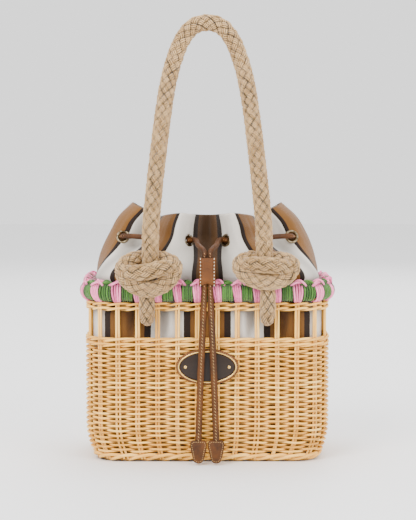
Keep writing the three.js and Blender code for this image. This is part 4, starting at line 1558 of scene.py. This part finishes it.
@dataclass
class Pouch:
    """The striped canvas pouch, drawn in by its cord into folds."""

    outline: Outline
    rings: RingTree
    cloth: float = 1.8 * MM
    slack: float = 0.8 * MM
    wall: float = 7.6 * MM
    floor: float = 6.6 * MM
    top_height: float = 265 * MM
    back_drop: float = 5 * MM
    cloth_low: float = 180.5 * MM
    columns: int = 288
    levels_below: int = 26
    levels_above: int = 40
    floor_shares: tuple = (0.02, 0.25, 0.5, 0.75, 0.93)  # the rows of its floor, as shares of its outline
    eyelet_hole: float = 5.6 * MM  # the radius of the hole in the cloth
    eyelet_reach: float = 9 * MM
    flange_hole: float = 4.6 * MM
    flange_reach: float = 7.7 * MM
    flange_thick: float = 2.6 * MM
    barrel_hole: float = 2.9 * MM
    barrel_reach: float = 5.4 * MM
    barrel_thick: float = 2.0 * MM
    inside_shade: float = 0.6
    stripe_shift: float = 14 * MM
    shift_from: float = 80 * MM
    shift_to: float = 178 * MM
    shift_fade: float = 50 * MM
    stripe_pinch: float = 8 * MM
    pinch_full: float = 18 * MM
    pinch_from: float = 22 * MM
    pinch_fade: float = 34 * MM
    dark_to: float = 108 * MM  # up to here, behind the close weave, the cloth is painted dark as shade
    shade_from: float = 138 * MM  # from here up, painted shade stands for the rim's shadow on the cloth
    flat: tuple = (0.69, 0.3)
    seed: int = 31
    # across and out as shares of the half width and half depth, height of the top height
    folds: tuple = (
        (0, 0.36, 0.955),
        (0.18, 0.66, 0.96),
        (0.35, 0.97, 0.967),
        (0.515, 0.66, 0.96),
        (0.65, 0.25, 0.953),
        (0.855, 0.43, 0.985),
        (1, 0, 1.008),
    )
    # up, width and depth as shares of the cloth's size in the rim, and how far the folds are made
    rise: tuple = (
        (0, 1, 1, 0),
        (0.14, 1.032, 1.05, 0.02),
        (0.32, 1.018, 1.06, 0.28),
        (0.5, 0.972, 1, 0.74),
        (0.66, 0.912, 0.94, 1),
        (0.84, 0.83, 0.95, 1),
        (1, 0.7, 0.97, 0.96),
    )
    # the room for the rope's turns: how far aside, how softly, how far above the rim, how deep and where
    hollow_reach: float = 24 * MM
    hollow_fade: float = 24 * MM
    hollow_above: float = 12 * MM
    hollow_y: float = 52.1 * MM
    window_x: float = 61.2 * MM
    in_rim: float = -14.25 * MM  # from the outline to the cloth inside the rim
    below_rim: float = 9.6 * MM  # where the cloth starts to lean in under the rim
    wall_top: float = field(init=False)
    rim_low: float = field(init=False)
    rim_top: float = field(init=False)
    fold_rows: Array = field(init=False)
    phases: Array = field(init=False)

    def __post_init__(self) -> None:
        """Reads the levels that the cloth passes."""
        self.wall_top = corners("openwork_band")[0].z - TOUCH
        self.rim_low, self.rim_top = corners("rim_roll")[0].z - TOUCH, corners("rim_roll")[1].z
        quarter = np.array(self.folds)
        back = [quarter[-2::-1] * (1, -1, 1), quarter[1:] * (-1, -1, 1)]
        self.fold_rows = np.vstack([quarter, *back, quarter[-2:0:-1] * (-1, 1, 1)])
        self.phases = np.random.default_rng(self.seed).uniform(0, math.tau, 12)

    def fold(self, turn: Array) -> Array:
        """The folded outline's across, out and height at shares of the way round."""
        count = len(self.fold_rows)
        place = (np.asarray(turn) % 1.0) * count
        row = np.floor(place).astype(int)
        share = (place - row)[:, None]
        p0, p1, p2, p3 = (self.fold_rows[(row + k) % count] for k in (-1, 0, 1, 2))
        return between(p1, p2, (p2 - p0) / 2, (p3 - p1) / 2, share)

    def _give_way(self, points: Array) -> Array:
        """Moves the cloth back from the rope's turns.

        Args:
            points: Points of the cloth.

        Returns:
            The moved points.
        """
        x, y, z = points.T
        near = np.clip(1 - np.abs(np.abs(x) - self.window_x) / self.hollow_reach, 0, 1)
        sideways = (1 - (1 - near) ** 4) ** 2
        below = smooth_share((z - self.wall_top + self.hollow_fade / 2) / self.hollow_fade)
        above = smooth_share((self.rim_top + self.hollow_above + self.hollow_fade - z) / self.hollow_fade)
        share = np.where(y * FRONT > self.hollow_y, sideways * below * above, 0)
        return np.column_stack([x, y + (FRONT * self.hollow_y - y) * share, z])

    def in_basket(self, turn: Array, height: float) -> Array:
        """Points of the cloth inside the basket at a height."""
        free = -self.wall - self.slack - self.outline.inset(height)
        up = smooth_share(np.array([(height - self.rim_low + self.below_rim) / self.below_rim]))[0]
        points, _ = self.outline.at(free + (self.in_rim - free) * up, turn)
        return self._give_way(np.column_stack([points, np.full(len(turn), height)]))

    def above_rim(self, turn: Array, up: float) -> Array:
        """Points of the cloth at a share of the way from the rim to the top edge."""
        fold = self.fold(turn)
        back = (1 - np.cos(turn * math.tau)) / 2
        top = fold[:, 2] * self.top_height - self.back_drop * back**2
        height = self.cloth_low + (top - self.cloth_low) * up
        table = np.array(self.rise)
        width, depth, drawn = (smooth_look_up(table[:, 0], table[:, k], up) for k in (1, 2, 3))
        half_width = (self.outline.half_width + self.in_rim) * width
        half_depth = (self.outline.half_depth + self.in_rim) * depth
        points, _ = rounded(half_width, half_depth, self.outline.radius + self.in_rim, turn)
        x = points[:, 0] + (fold[:, 0] * half_width - points[:, 0]) * drawn
        y = points[:, 1] + (fold[:, 1] * half_depth * FRONT - points[:, 1]) * drawn
        return self._give_way(np.column_stack([x, y, height]))

    def _wrinkles(self, turn: Array, up: float) -> Array:
        """Fine folds: gathers where the cord draws the cloth in, and a little unevenness elsewhere."""
        gather = math.exp(-(((up - 0.74) / 0.2) ** 2))
        fine = np.zeros_like(turn)
        for k, waves in enumerate((24, 36, 53, 71)):
            fine += np.sin(turn * math.tau * waves + self.phases[k]) / (k + 1.5)
        loose = np.sin(turn * math.tau * 7 + self.phases[5] + up * 5) + np.sin(turn * math.tau * 13 + up * 9)
        return (fine * (0.75 * gather + 0.12) + loose * 0.3) * MM

    def build(self) -> list[Piece]:
        """Makes the cloth and its eyelets.

        Returns:
            The pieces.
        """
        eyelets, barrels = self._eyelets()
        cloth = self._cloth()
        return [cloth, eyelets, barrels]

    def _rows(self) -> tuple[Array, Array]:
        """The cloth's outer side as rows of points, from the middle of its floor to the top edge.

        Returns:
            The points, and the cloth's own height at each row.
        """
        turn = np.arange(self.columns) / self.columns
        bottom = self.in_basket(turn, self.floor)
        rows = [bottom * (share, share, 1) for share in self.floor_shares]
        heights = np.linspace(self.floor, self.rim_low, self.levels_below)
        rows += [self.in_basket(turn, height) for height in heights]
        for up in np.linspace(0, 1, self.levels_above):
            points = self.above_rim(turn, up)
            along = np.roll(points, -1, axis=0) - np.roll(points, 1, axis=0)
            out = np.column_stack([along[:, 1], -along[:, 0]])
            out /= np.linalg.norm(out, axis=1)[:, None]
            points[:, :2] += out * (self._wrinkles(turn, up) * min(1.0, up * 5))[:, None]
            rows.append(points)
        grid = np.stack(rows)
        steps = np.linalg.norm(np.diff(grid, axis=0), axis=2).mean(axis=1)
        return grid, np.concatenate([[0], np.cumsum(steps)])

    def _painted_shade(self) -> Array:
        """How much painted shade each point of the rows gets: at the bottom of a fold, behind the close weave
        and under the rim.
        """
        turn = np.arange(self.columns) / self.columns
        quarter = 0.25 - np.abs(0.25 - turn % 0.5)
        middle = np.exp(-((quarter / 0.034) ** 2)) * 0.8
        beside = np.exp(-(((quarter - 1 / 6) / 0.02) ** 2)) * 0.45
        ups = np.linspace(0, 1, self.levels_above)
        above = smooth_share((ups + 0.1) / 0.3)[:, None] * (middle + beside)
        # painted shade just above the rim, all the way round
        above = above + 0.3 * np.exp(-ups / 0.07)[:, None]
        climb = np.linspace(self.floor, self.rim_low, self.levels_below)
        heights = np.concatenate([np.zeros(len(self.floor_shares)), climb])
        shaded = smooth_share((heights - self.shade_from) / (28 * MM))
        # painted shade behind the close weave, lighter in the openwork and darker again under the rim
        below = 0.9 - 0.8 * smooth_share((heights - self.dark_to) / (20 * MM)) + 0.45 * shaded
        rows = np.vstack([np.broadcast_to(below[:, None], (len(heights), self.columns)), above])
        return rows.clip(0, 1).ravel()

    def _cloth(self) -> Piece:
        """The cloth as one sheet with thickness, open where the eyelets are."""
        grid, climb = self._rows()
        rows, columns = grid.shape[:2]
        index = np.arange(rows * columns).reshape(rows, columns)
        faces = np.stack(
            [index[:-1], np.roll(index[:-1], -1, 1), np.roll(index[1:], -1, 1), index[1:]], axis=-1
        ).reshape(-1, 4)
        points = grid.reshape(-1, 3)
        middles = points[faces].mean(axis=1)
        holes = np.zeros(len(faces), dtype=bool)
        for centre, normal in self.eyelet_places():
            away = middles - centre
            depth = away @ normal
            flat = np.linalg.norm(away - depth[:, None] * normal, axis=1)
            holes |= (flat < self.eyelet_hole) & (np.abs(depth) < self.eyelet_reach)
        kept = faces[~holes]
        mesh = bpy.data.meshes.new("pouch_cloth")
        mesh.from_pydata(points, [], kept.tolist() + [index[0][::-1].tolist()])
        mesh.attributes.new("deep", "FLOAT", "POINT").data.foreach_set("value", self._painted_shade())
        layer = mesh.uv_layers.new(name="cloth")
        shares = np.append((np.arange(columns) / columns + 0.5) % 1.0 - 0.5, 0.5)
        shift = self._stripe_shift(shares)
        for polygon in mesh.polygons:
            cols = [vertex % columns for vertex in polygon.vertices]
            wrapped = columns // 2 in cols and columns // 2 - 1 in cols
            for loop, vertex, column in zip(polygon.loop_indices, polygon.vertices, cols):
                if wrapped and column == columns // 2:
                    column = columns
                row = vertex // columns
                layer.data[loop].uv = (shares[column] * self.flat[0] + shift[row, column], climb[row])
        cloth = piece_from("pouch_cloth", mesh, CANVAS)
        thicken = cloth.modifiers.new("thickness", "SOLIDIFY")
        thicken.thickness = self.cloth
        thicken.offset = -1.0
        finished = bpy.data.meshes.new_from_object(cloth.evaluated_get(bpy.context.evaluated_depsgraph_get()))
        deep = np.empty(len(finished.vertices))
        finished.attributes["deep"].data.foreach_get("value", deep)
        # painted shade on the cloth's inner side, at least inside_shade
        deep[len(points):] = np.maximum(deep[len(points):], self.inside_shade)
        finished.attributes["deep"].data.foreach_set("value", deep)
        cloth.modifiers.clear()
        cloth.data = finished
        finished.name = "pouch_cloth"
        return keep(cloth, ["pouch"])

    def _stripe_shift(self, shares: Array) -> Array:
        """How far the stripes have moved round: forwards beside the ears, and together at the front's middle.

        Args:
            shares: The shares of the way round, negative on the left.

        Returns:
            The shift for each row and share.
        """
        along = np.abs(shares) * self.flat[0]
        past_front = smooth_share((along - self.shift_from) / self.shift_fade)
        near = past_front * (1 - smooth_share((along - self.shift_to) / self.shift_fade))
        in_basket = np.zeros(len(self.floor_shares) + self.levels_below)
        ups = np.linspace(0, 1, self.levels_above)
        fade = np.concatenate([in_basket, 1 - smooth_share(ups / 0.6)])
        past_pinch = smooth_share((along - self.pinch_from) / self.pinch_fade)
        beside = smooth_share(along / self.pinch_full) * (1 - past_pinch)
        drawn = np.concatenate([in_basket, 1 - smooth_share((ups - 0.3) / 0.4)])
        pinch = drawn[:, None] * (beside * np.sign(shares) * self.stripe_pinch)
        return fade[:, None] * (near * np.sign(shares) * self.stripe_shift) + pinch

    def eyelet_places(self) -> list[tuple[Array, Array]]:
        """Each eyelet's middle and the way that it faces, read off its solid."""
        places = []
        for name in self.eyelet_nodes():
            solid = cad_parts[name]
            points = np.array([vertex.co for vertex in solid.data.vertices])
            low, high = corners(name)
            centre = np.array((low + high) / 2)
            normal = np.linalg.svd(points - centre, full_matrices=False)[2][2]
            outwards = np.array((centre[0], centre[1], 0.0))
            places.append((centre, normal if np.dot(normal, outwards) > 0 else -normal))
        return places

    def eyelet_nodes(self) -> list[str]:
        """The names of the eyelets' solids."""
        return sorted(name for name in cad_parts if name.startswith("eyelet_"))

    def _eyelets(self) -> tuple[Piece, Piece]:
        """The eyelets' bright flanges and their dark barrels, each in one mesh."""
        lines = [Line(np.array([centre]), facing=tuple(normal)) for centre, normal in self.eyelet_places()]
        flanges = self.rings.grow(
            "eyelet_rings", lines, EYELET_METAL,
            hole_radius=self.flange_hole, outer_radius=self.flange_reach, thickness=self.flange_thick,
        )
        barrels = self.rings.grow(
            "eyelet_barrels", lines, BRONZE,
            hole_radius=self.barrel_hole, outer_radius=self.barrel_reach, thickness=self.barrel_thick,
        )
        return keep(flanges, self.eyelet_nodes()), keep(barrels)


def smooth_share(share: Array) -> Array:
    """A smooth step from 0 to 1."""
    share = np.clip(share, 0, 1)
    return share * share * (3 - 2 * share)


def smooth_look_up(places: Array, values: Array, place: float) -> float:
    """A table's value between its rows, without corners at them.

    Args:
        places: Where the rows are, rising.
        values: Their values.
        place: Where the value is wanted.

    Returns:
        The value.
    """
    slopes = np.gradient(values, places)
    row = min(max(int(np.searchsorted(places, place, side="right")) - 1, 0), len(places) - 2)
    width = places[row + 1] - places[row]
    share = (place - places[row]) / width
    return float(between(*values[row : row + 2], *slopes[row : row + 2] * width, share))


@dataclass
class Cords:
    """The leather drawstring: its way through the eyelets, its sleeve, and the two tails with their tips."""

    rods: RodTree
    stitches: StitchTree
    pouch: Pouch
    thick: float = 5.4 * MM
    tail_width: float = 7.0 * MM
    tail_spread: float = 9 * MM
    tail_bow: float = 0.8 * MM
    cord_x: float = 2.95 * MM  # from the sleeve's middle to a cord's
    tail_steps: int = 7
    step: float = 2.2 * MM
    past_eyelet: float = 1 * MM
    slant: float = 2.4 * MM  # how far the cord moves on along the edge beside an eyelet
    tip_width: float = 16.9 * MM
    tip_height: float = 24 * MM
    tip_thick: float = 4 * MM
    tip_hem: float = 2.0 * MM
    # a tip's edge from the cord down, as shares of its half width and its height
    tip_side: tuple = (
        (0.6, 0), (0.86, 0.03), (1, 0.14), (0.98, 0.3), (0.88, 0.5), (0.76, 0.68), (0.64, 0.82),
    )
    slider_flange: float = 2.6 * MM
    slider_edge: float = 1.3 * MM  # half the sleeve's thickness at its edges
    slider_shell: float = 1.3 * MM
    slider_sink: float = 3 * MM
    seam_front: float = 3.1 * MM
    seam_inset: float = 1.6 * MM
    seam_low: float = 1.2 * MM
    seam_top: float = 1 * MM
    slider_low: Vector = field(init=False)
    slider_high: Vector = field(init=False)
    y: float = field(init=False)
    tip_top: float = field(init=False)

    def __post_init__(self) -> None:
        """Reads the sleeve's and the tips' places."""
        self.slider_low, self.slider_high = corners("cord_slider")
        self.y = (self.slider_low.y + self.slider_high.y) / 2
        self.tip_top = corners("tail_tip_left")[1].z

    def build(self) -> list[Piece]:
        """Makes the cords and what is on them.

        Returns:
            The pieces.
        """
        return self._tail("left", -1) + self._tail("right", 1) + self._drawstring() + self._slider()

    def _cord(self, name: str, points: Array, node: str) -> tuple[Piece, Array]:
        """A round leather cord.

        Args:
            name: The piece's name.
            points: Its way.
            node: The solid that it replaces.

        Returns:
            The piece and its way in even steps.
        """
        way, _ = smooth_way(points, self.step)
        piece = self.rods.grow(name, [Line(way, self.thick)], BROWN_LEATHER, sides=14)
        return keep(piece, [node]), way

    def _sewn(
        self, name: str, lines: list[Line], slot: str, finish: Finish, **sizes: float
    ) -> Piece:
        """Stitches along lines, as a kept piece."""
        return keep(self.stitches.grow(name, lines, finish, **sizes))

    def tail_points(self, side: int) -> Array:
        """One tail's way, from the sleeve's bottom to the top of its tip."""
        share = np.arange(self.tail_steps + 1) / self.tail_steps
        spread = self.cord_x + (self.tail_spread - self.cord_x) * share**1.3
        bow = self.tail_bow * np.sin(share * math.pi)
        height = self.slider_low.z + (self.tip_top + TOUCH - self.slider_low.z) * share
        return np.column_stack([side * (spread + bow), np.full_like(share, self.y), height])

    def _tail(self, word: str, side: int) -> list[Piece]:
        """One hanging tail with its stitches, tip and the tip's stitches."""
        points = self.tail_points(side)
        cord, way = self._cord(f"tail_{word}", points, f"drawstring_tail_{word}")
        self._widen(cord, way)
        front = way + np.array((0, FRONT * self.thick * 0.5, 0))
        seam = self._sewn(
            f"tail_seam_{word}", [Line(front[2:])], "leather_brown", CREAM_THREAD,
            pitch=3.2 * MM, length=2.4 * MM, thickness=0.55 * MM, slant=math.radians(34),
        )
        tip, hem = self._tip(word, side)
        return [cord, seam, tip, hem]

    def _widen(self, cord: Piece, way: Array) -> None:
        """Makes a tail wider than deep, as far as the room between the two tails lets it.

        Args:
            cord: The tail.
            way: Its middle line.
        """
        points = np.empty(len(cord.data.vertices) * 3)
        cord.data.vertices.foreach_get("co", points)
        points = points.reshape(-1, 3)
        order = np.argsort(way[:, 2])
        middle = np.interp(points[:, 2], way[order, 2], way[order, 0])
        half = np.minimum(self.tail_width / 2, np.abs(middle) - TOUCH / 2)
        points[:, 0] = middle + (points[:, 0] - middle) * half / (self.thick / 2)
        cord.data.vertices.foreach_set("co", points.ravel())
        cord.data.update()

    def _tip_outline(self, shrink: float) -> Array:
        """A tip's outline: broad shoulders under the cord, then narrower to a round end."""
        side = np.array(self.tip_side)
        angles = np.linspace(0.25, math.pi - 0.25, 9)
        end = np.column_stack([0.6 * np.cos(angles), 0.84 + 0.16 * np.sin(angles)])
        points = np.vstack([side, end, side[::-1] * (-1, 1)]) * (self.tip_width / 2, -self.tip_height)
        centre = np.array((0, -self.tip_height * 0.45))
        towards = centre - points
        return points + towards / np.linalg.norm(towards, axis=1)[:, None] * shrink

    def _tip(self, word: str, side: int) -> tuple[Piece, Piece]:
        """One leather tip and its row of stitches."""
        middle = Matrix.Translation((side * self.tail_spread, self.y, self.tip_top))
        place = middle @ Matrix.Rotation(math.pi / 2, 4, "X")
        tip = slab(f"tip_{word}", self._tip_outline(0), self.tip_thick, 1.3 * MM, BROWN_LEATHER, place)
        keep(tip, [f"tail_tip_{word}"])
        inner = self._tip_outline(self.tip_hem)
        front = self.y + FRONT * (self.tip_thick / 2 + PROUD)
        ring = [(x + side * self.tail_spread, front, self.tip_top + z) for x, z in inner]
        hem = self._sewn(
            f"tip_stitches_{word}", [Line(np.array(ring), closed=True)], "leather_brown", CREAM_THREAD,
            pitch=2.3 * MM, length=1.4 * MM, thickness=0.5 * MM,
        )
        return tip, hem

    def drawstring_points(self) -> Array:
        """The cord's way: up through the sleeve, then in and out through the eyelets, right to left."""
        clear = self.pouch.flange_thick / 2 + self.thick / 2 + self.past_eyelet
        low, top = self.slider_low.z, self.slider_high.z
        heights = [low + TOUCH, low + (top - low) * 0.55, top, top + self.thick]
        points = [np.array((self.cord_x, self.y, height)) for height in heights]
        places = self.pouch.eyelet_places()
        first = places[0][0]
        start = np.array((self.cord_x, self.y, top))
        joining = start + (first - start) * (0.35, 0.3, 0.75)
        points.append(joining)
        for i, (centre, normal) in enumerate(places):
            inwards = 1 if i % 2 else -1
            along = places[(i + 1) % len(places)][0] - places[i - 1][0]
            along = along - normal * np.dot(along, normal)
            along /= np.linalg.norm(along)
            for step in (-1, 1):
                points.append(centre + normal * inwards * step * clear + along * step * self.slant)
        points.append(joining * (-1, 1, 1))
        points += [np.array((-self.cord_x, self.y, height)) for height in reversed(heights)]
        return np.array(points)

    def _drawstring(self) -> list[Piece]:
        """The cord through the eyelets, with a stitched seam along its front."""
        cord, way = self._cord("drawstring_cord", self.drawstring_points(), "drawstring")
        outwards = way * (1, 1, 0)
        outwards /= np.linalg.norm(outwards, axis=1)[:, None]
        seam = self._sewn(
            "drawstring_seam", [Line(way + outwards * self.thick * 0.5, facing=outwards)], "leather_brown",
            BROWN_THREAD, pitch=3.0 * MM, length=2.0 * MM, thickness=0.7 * MM, slant=math.radians(30),
        )
        return [cord, seam]

    def _slider(self) -> list[Piece]:
        """The sleeve: two leather faces sewn together down both edges, with room for both cords."""
        low, high = self.slider_low, self.slider_high
        half, deep = (high.x - low.x) / 2, (high.y - low.y) / 2
        angle = np.linspace(0, math.tau, 44, endpoint=False)
        x = half * np.cos(angle)
        sign = np.sign(np.sin(angle + 1e-9))
        edge, shell = self.slider_edge, self.slider_shell
        bulge = smooth_share((half - np.abs(x)) / self.slider_flange / 1.2)
        y = sign * (edge + (deep - edge) * bulge) * np.where(np.abs(x) > half * 0.999, 0.0, 1.0)
        sink = self.slider_sink * (1 - (x / half) ** 2)
        rings = []
        climb = np.linspace(0, 1, 7)
        for inner, share in [(False, k) for k in climb] + [(True, k) for k in climb[::-1]]:
            wide = 1 - (shell + 0.9 * MM) / half if inner else 1.0
            thin = (np.abs(y) - shell).clip(0.12 * MM) * sign if inner else y
            bottom = low.z + np.where(y * FRONT > 0, sink, 0)
            height = bottom + (high.z - bottom) * share
            pinch = 1 - 0.02 * math.sin(share * math.pi)
            rings.append(np.column_stack([x * wide * pinch, self.y + thin, height]))
        mesh = ring_mesh("slider_sleeve", np.stack(rings))
        sleeve = keep(piece_from("slider_sleeve", mesh, TAN_LEATHER), ["cord_slider"])
        front = self.y + FRONT * self.seam_front
        aside = half - self.seam_inset
        ends = (low.z + self.seam_low, high.z - self.seam_top)
        seams = [Line(np.array([(side * aside, front, height) for height in ends])) for side in (-1, 1)]
        sewn = self._sewn(
            "slider_stitches", seams, "leather_tan", WHITE_THREAD,
            pitch=3.2 * MM, length=1.8 * MM, thickness=0.85 * MM,
        )
        return [sleeve, sewn]


@dataclass
class Patch:
    """The bare oval patch on the front: stitched leather, a dark enamel plate and its brass frame."""

    outline: Outline
    rods: RodTree
    stitches: StitchTree
    sides: int = 64
    leather_rounding: float = 0.7 * MM
    plate_rounding: float = 0.3 * MM
    band: float = 1.8 * MM
    hem: float = 1.2 * MM

    def build(self) -> list[Piece]:
        """Makes the patch.

        Returns:
            The pieces.
        """
        leather = self._oval(
            "patch_backing", "patch_leather", self.leather_rounding, PATCH_LEATHER
        )
        plate = self._oval("patch_enamel", "patch_plate", self.plate_rounding, ENAMEL)
        return [leather, plate, self._frame(), *self._rivets(), self._hem()]

    def _ring(self, node: str, inset: float, sides: int) -> Array:
        """An oval way inside a solid's edge, at the middle of its thickness."""
        low, high = corners(node)
        middle = (low + high) / 2
        flat = ellipse((high.x - low.x) / 2 - inset, (high.z - low.z) / 2 - inset, sides)
        return np.column_stack([flat[:, 0], np.full(sides, middle.y), middle.z + flat[:, 1]])

    def _oval(self, name: str, node: str, rounding: float, finish: Finish) -> Piece:
        """An oval slab in the place of a solid."""
        low, high = corners(node)
        middle = (low + high) / 2
        outline = ellipse((high.x - low.x) / 2, (high.z - low.z) / 2, self.sides)
        place = Matrix.Translation(middle) @ Matrix.Rotation(math.pi / 2, 4, "X")
        return keep(slab(name, outline, high.y - low.y, rounding, finish, place), [node])

    def _frame(self) -> Piece:
        """The brass rim round the plate."""
        way = self._ring("patch_frame", self.band / 2, 96)
        piece = self.rods.grow("patch_rim", [Line(way, self.band, True)], BRASS, sides=10)
        return keep(piece, ["patch_frame"])

    def _rivets(self) -> list[Piece]:
        """The two domed rivets."""
        pieces = []
        for number in (1, 2):
            low, high = corners(f"patch_rivet_{number}")
            middle = (low + high) / 2
            radius = (high.x - low.x) / 2
            work = bmesh.new()
            bmesh.ops.create_uvsphere(work, u_segments=24, v_segments=12, radius=radius)
            bmesh.ops.scale(work, vec=(1, (high.y - low.y) / 2 / radius, 1), verts=work.verts)
            bmesh.ops.translate(work, vec=middle, verts=work.verts)
            mesh = bpy.data.meshes.new(f"patch_stud_{number}")
            work.to_mesh(mesh)
            work.free()
            piece = piece_from(f"patch_stud_{number}", mesh, BRASS)
            pieces.append(keep(piece, [f"patch_rivet_{number}"]))
        return pieces

    def _hem(self) -> Piece:
        """The stitches round the leather's edge."""
        way = self._ring("patch_leather", self.hem, 120)
        way[:, 1] = corners("patch_leather")[0].y + FRONT * PROUD
        seam = [Line(way, closed=True)]
        piece = self.stitches.grow(
            "patch_stitches", seam, BROWN_THREAD, pitch=2.2 * MM, length=1.5 * MM, thickness=0.6 * MM
        )
        return keep(piece)


def ellipse(half_width: float, half_height: float, sides: int) -> Array:
    """An ellipse's points, in two dimensions."""
    angle = np.linspace(0, math.tau, sides, endpoint=False)
    return np.column_stack([half_width * np.cos(angle), half_height * np.sin(angle)])


def report(name: str, pieces: Sequence[Piece]) -> None:
    """Logs what has been built.

    Args:
        name: The sub-assembly's name.
        pieces: Its pieces.
    """
    for piece in pieces:
        triangles = sum(len(polygon.vertices) - 2 for polygon in piece.data.polygons)
        LOG.info("%s: %s, %d triangles", name, piece.name, triangles)


def main() -> None:
    """Builds the studio and the bag, one sub-assembly after the other."""
    logging.basicConfig(level=logging.INFO, format="%(message)s")
    outline = Outline()
    rods, stitches = RodTree(), StitchTree()
    pouch = Pouch(outline, RingTree())
    assemblies = {
        "studio": Studio(),
        "cords": Cords(rods, stitches, pouch),
        "handle": Handle(outline, rods, Braid()),
        "basket": Basket(outline, rods, WeaveTree()),
        "rim": Rim(outline, rods),
        "pouch": pouch,
        "patch": Patch(outline, rods, stitches),
    }
    for name, assembly in assemblies.items():
        report(name, assembly.build())


if __name__ == "__main__":
    main()
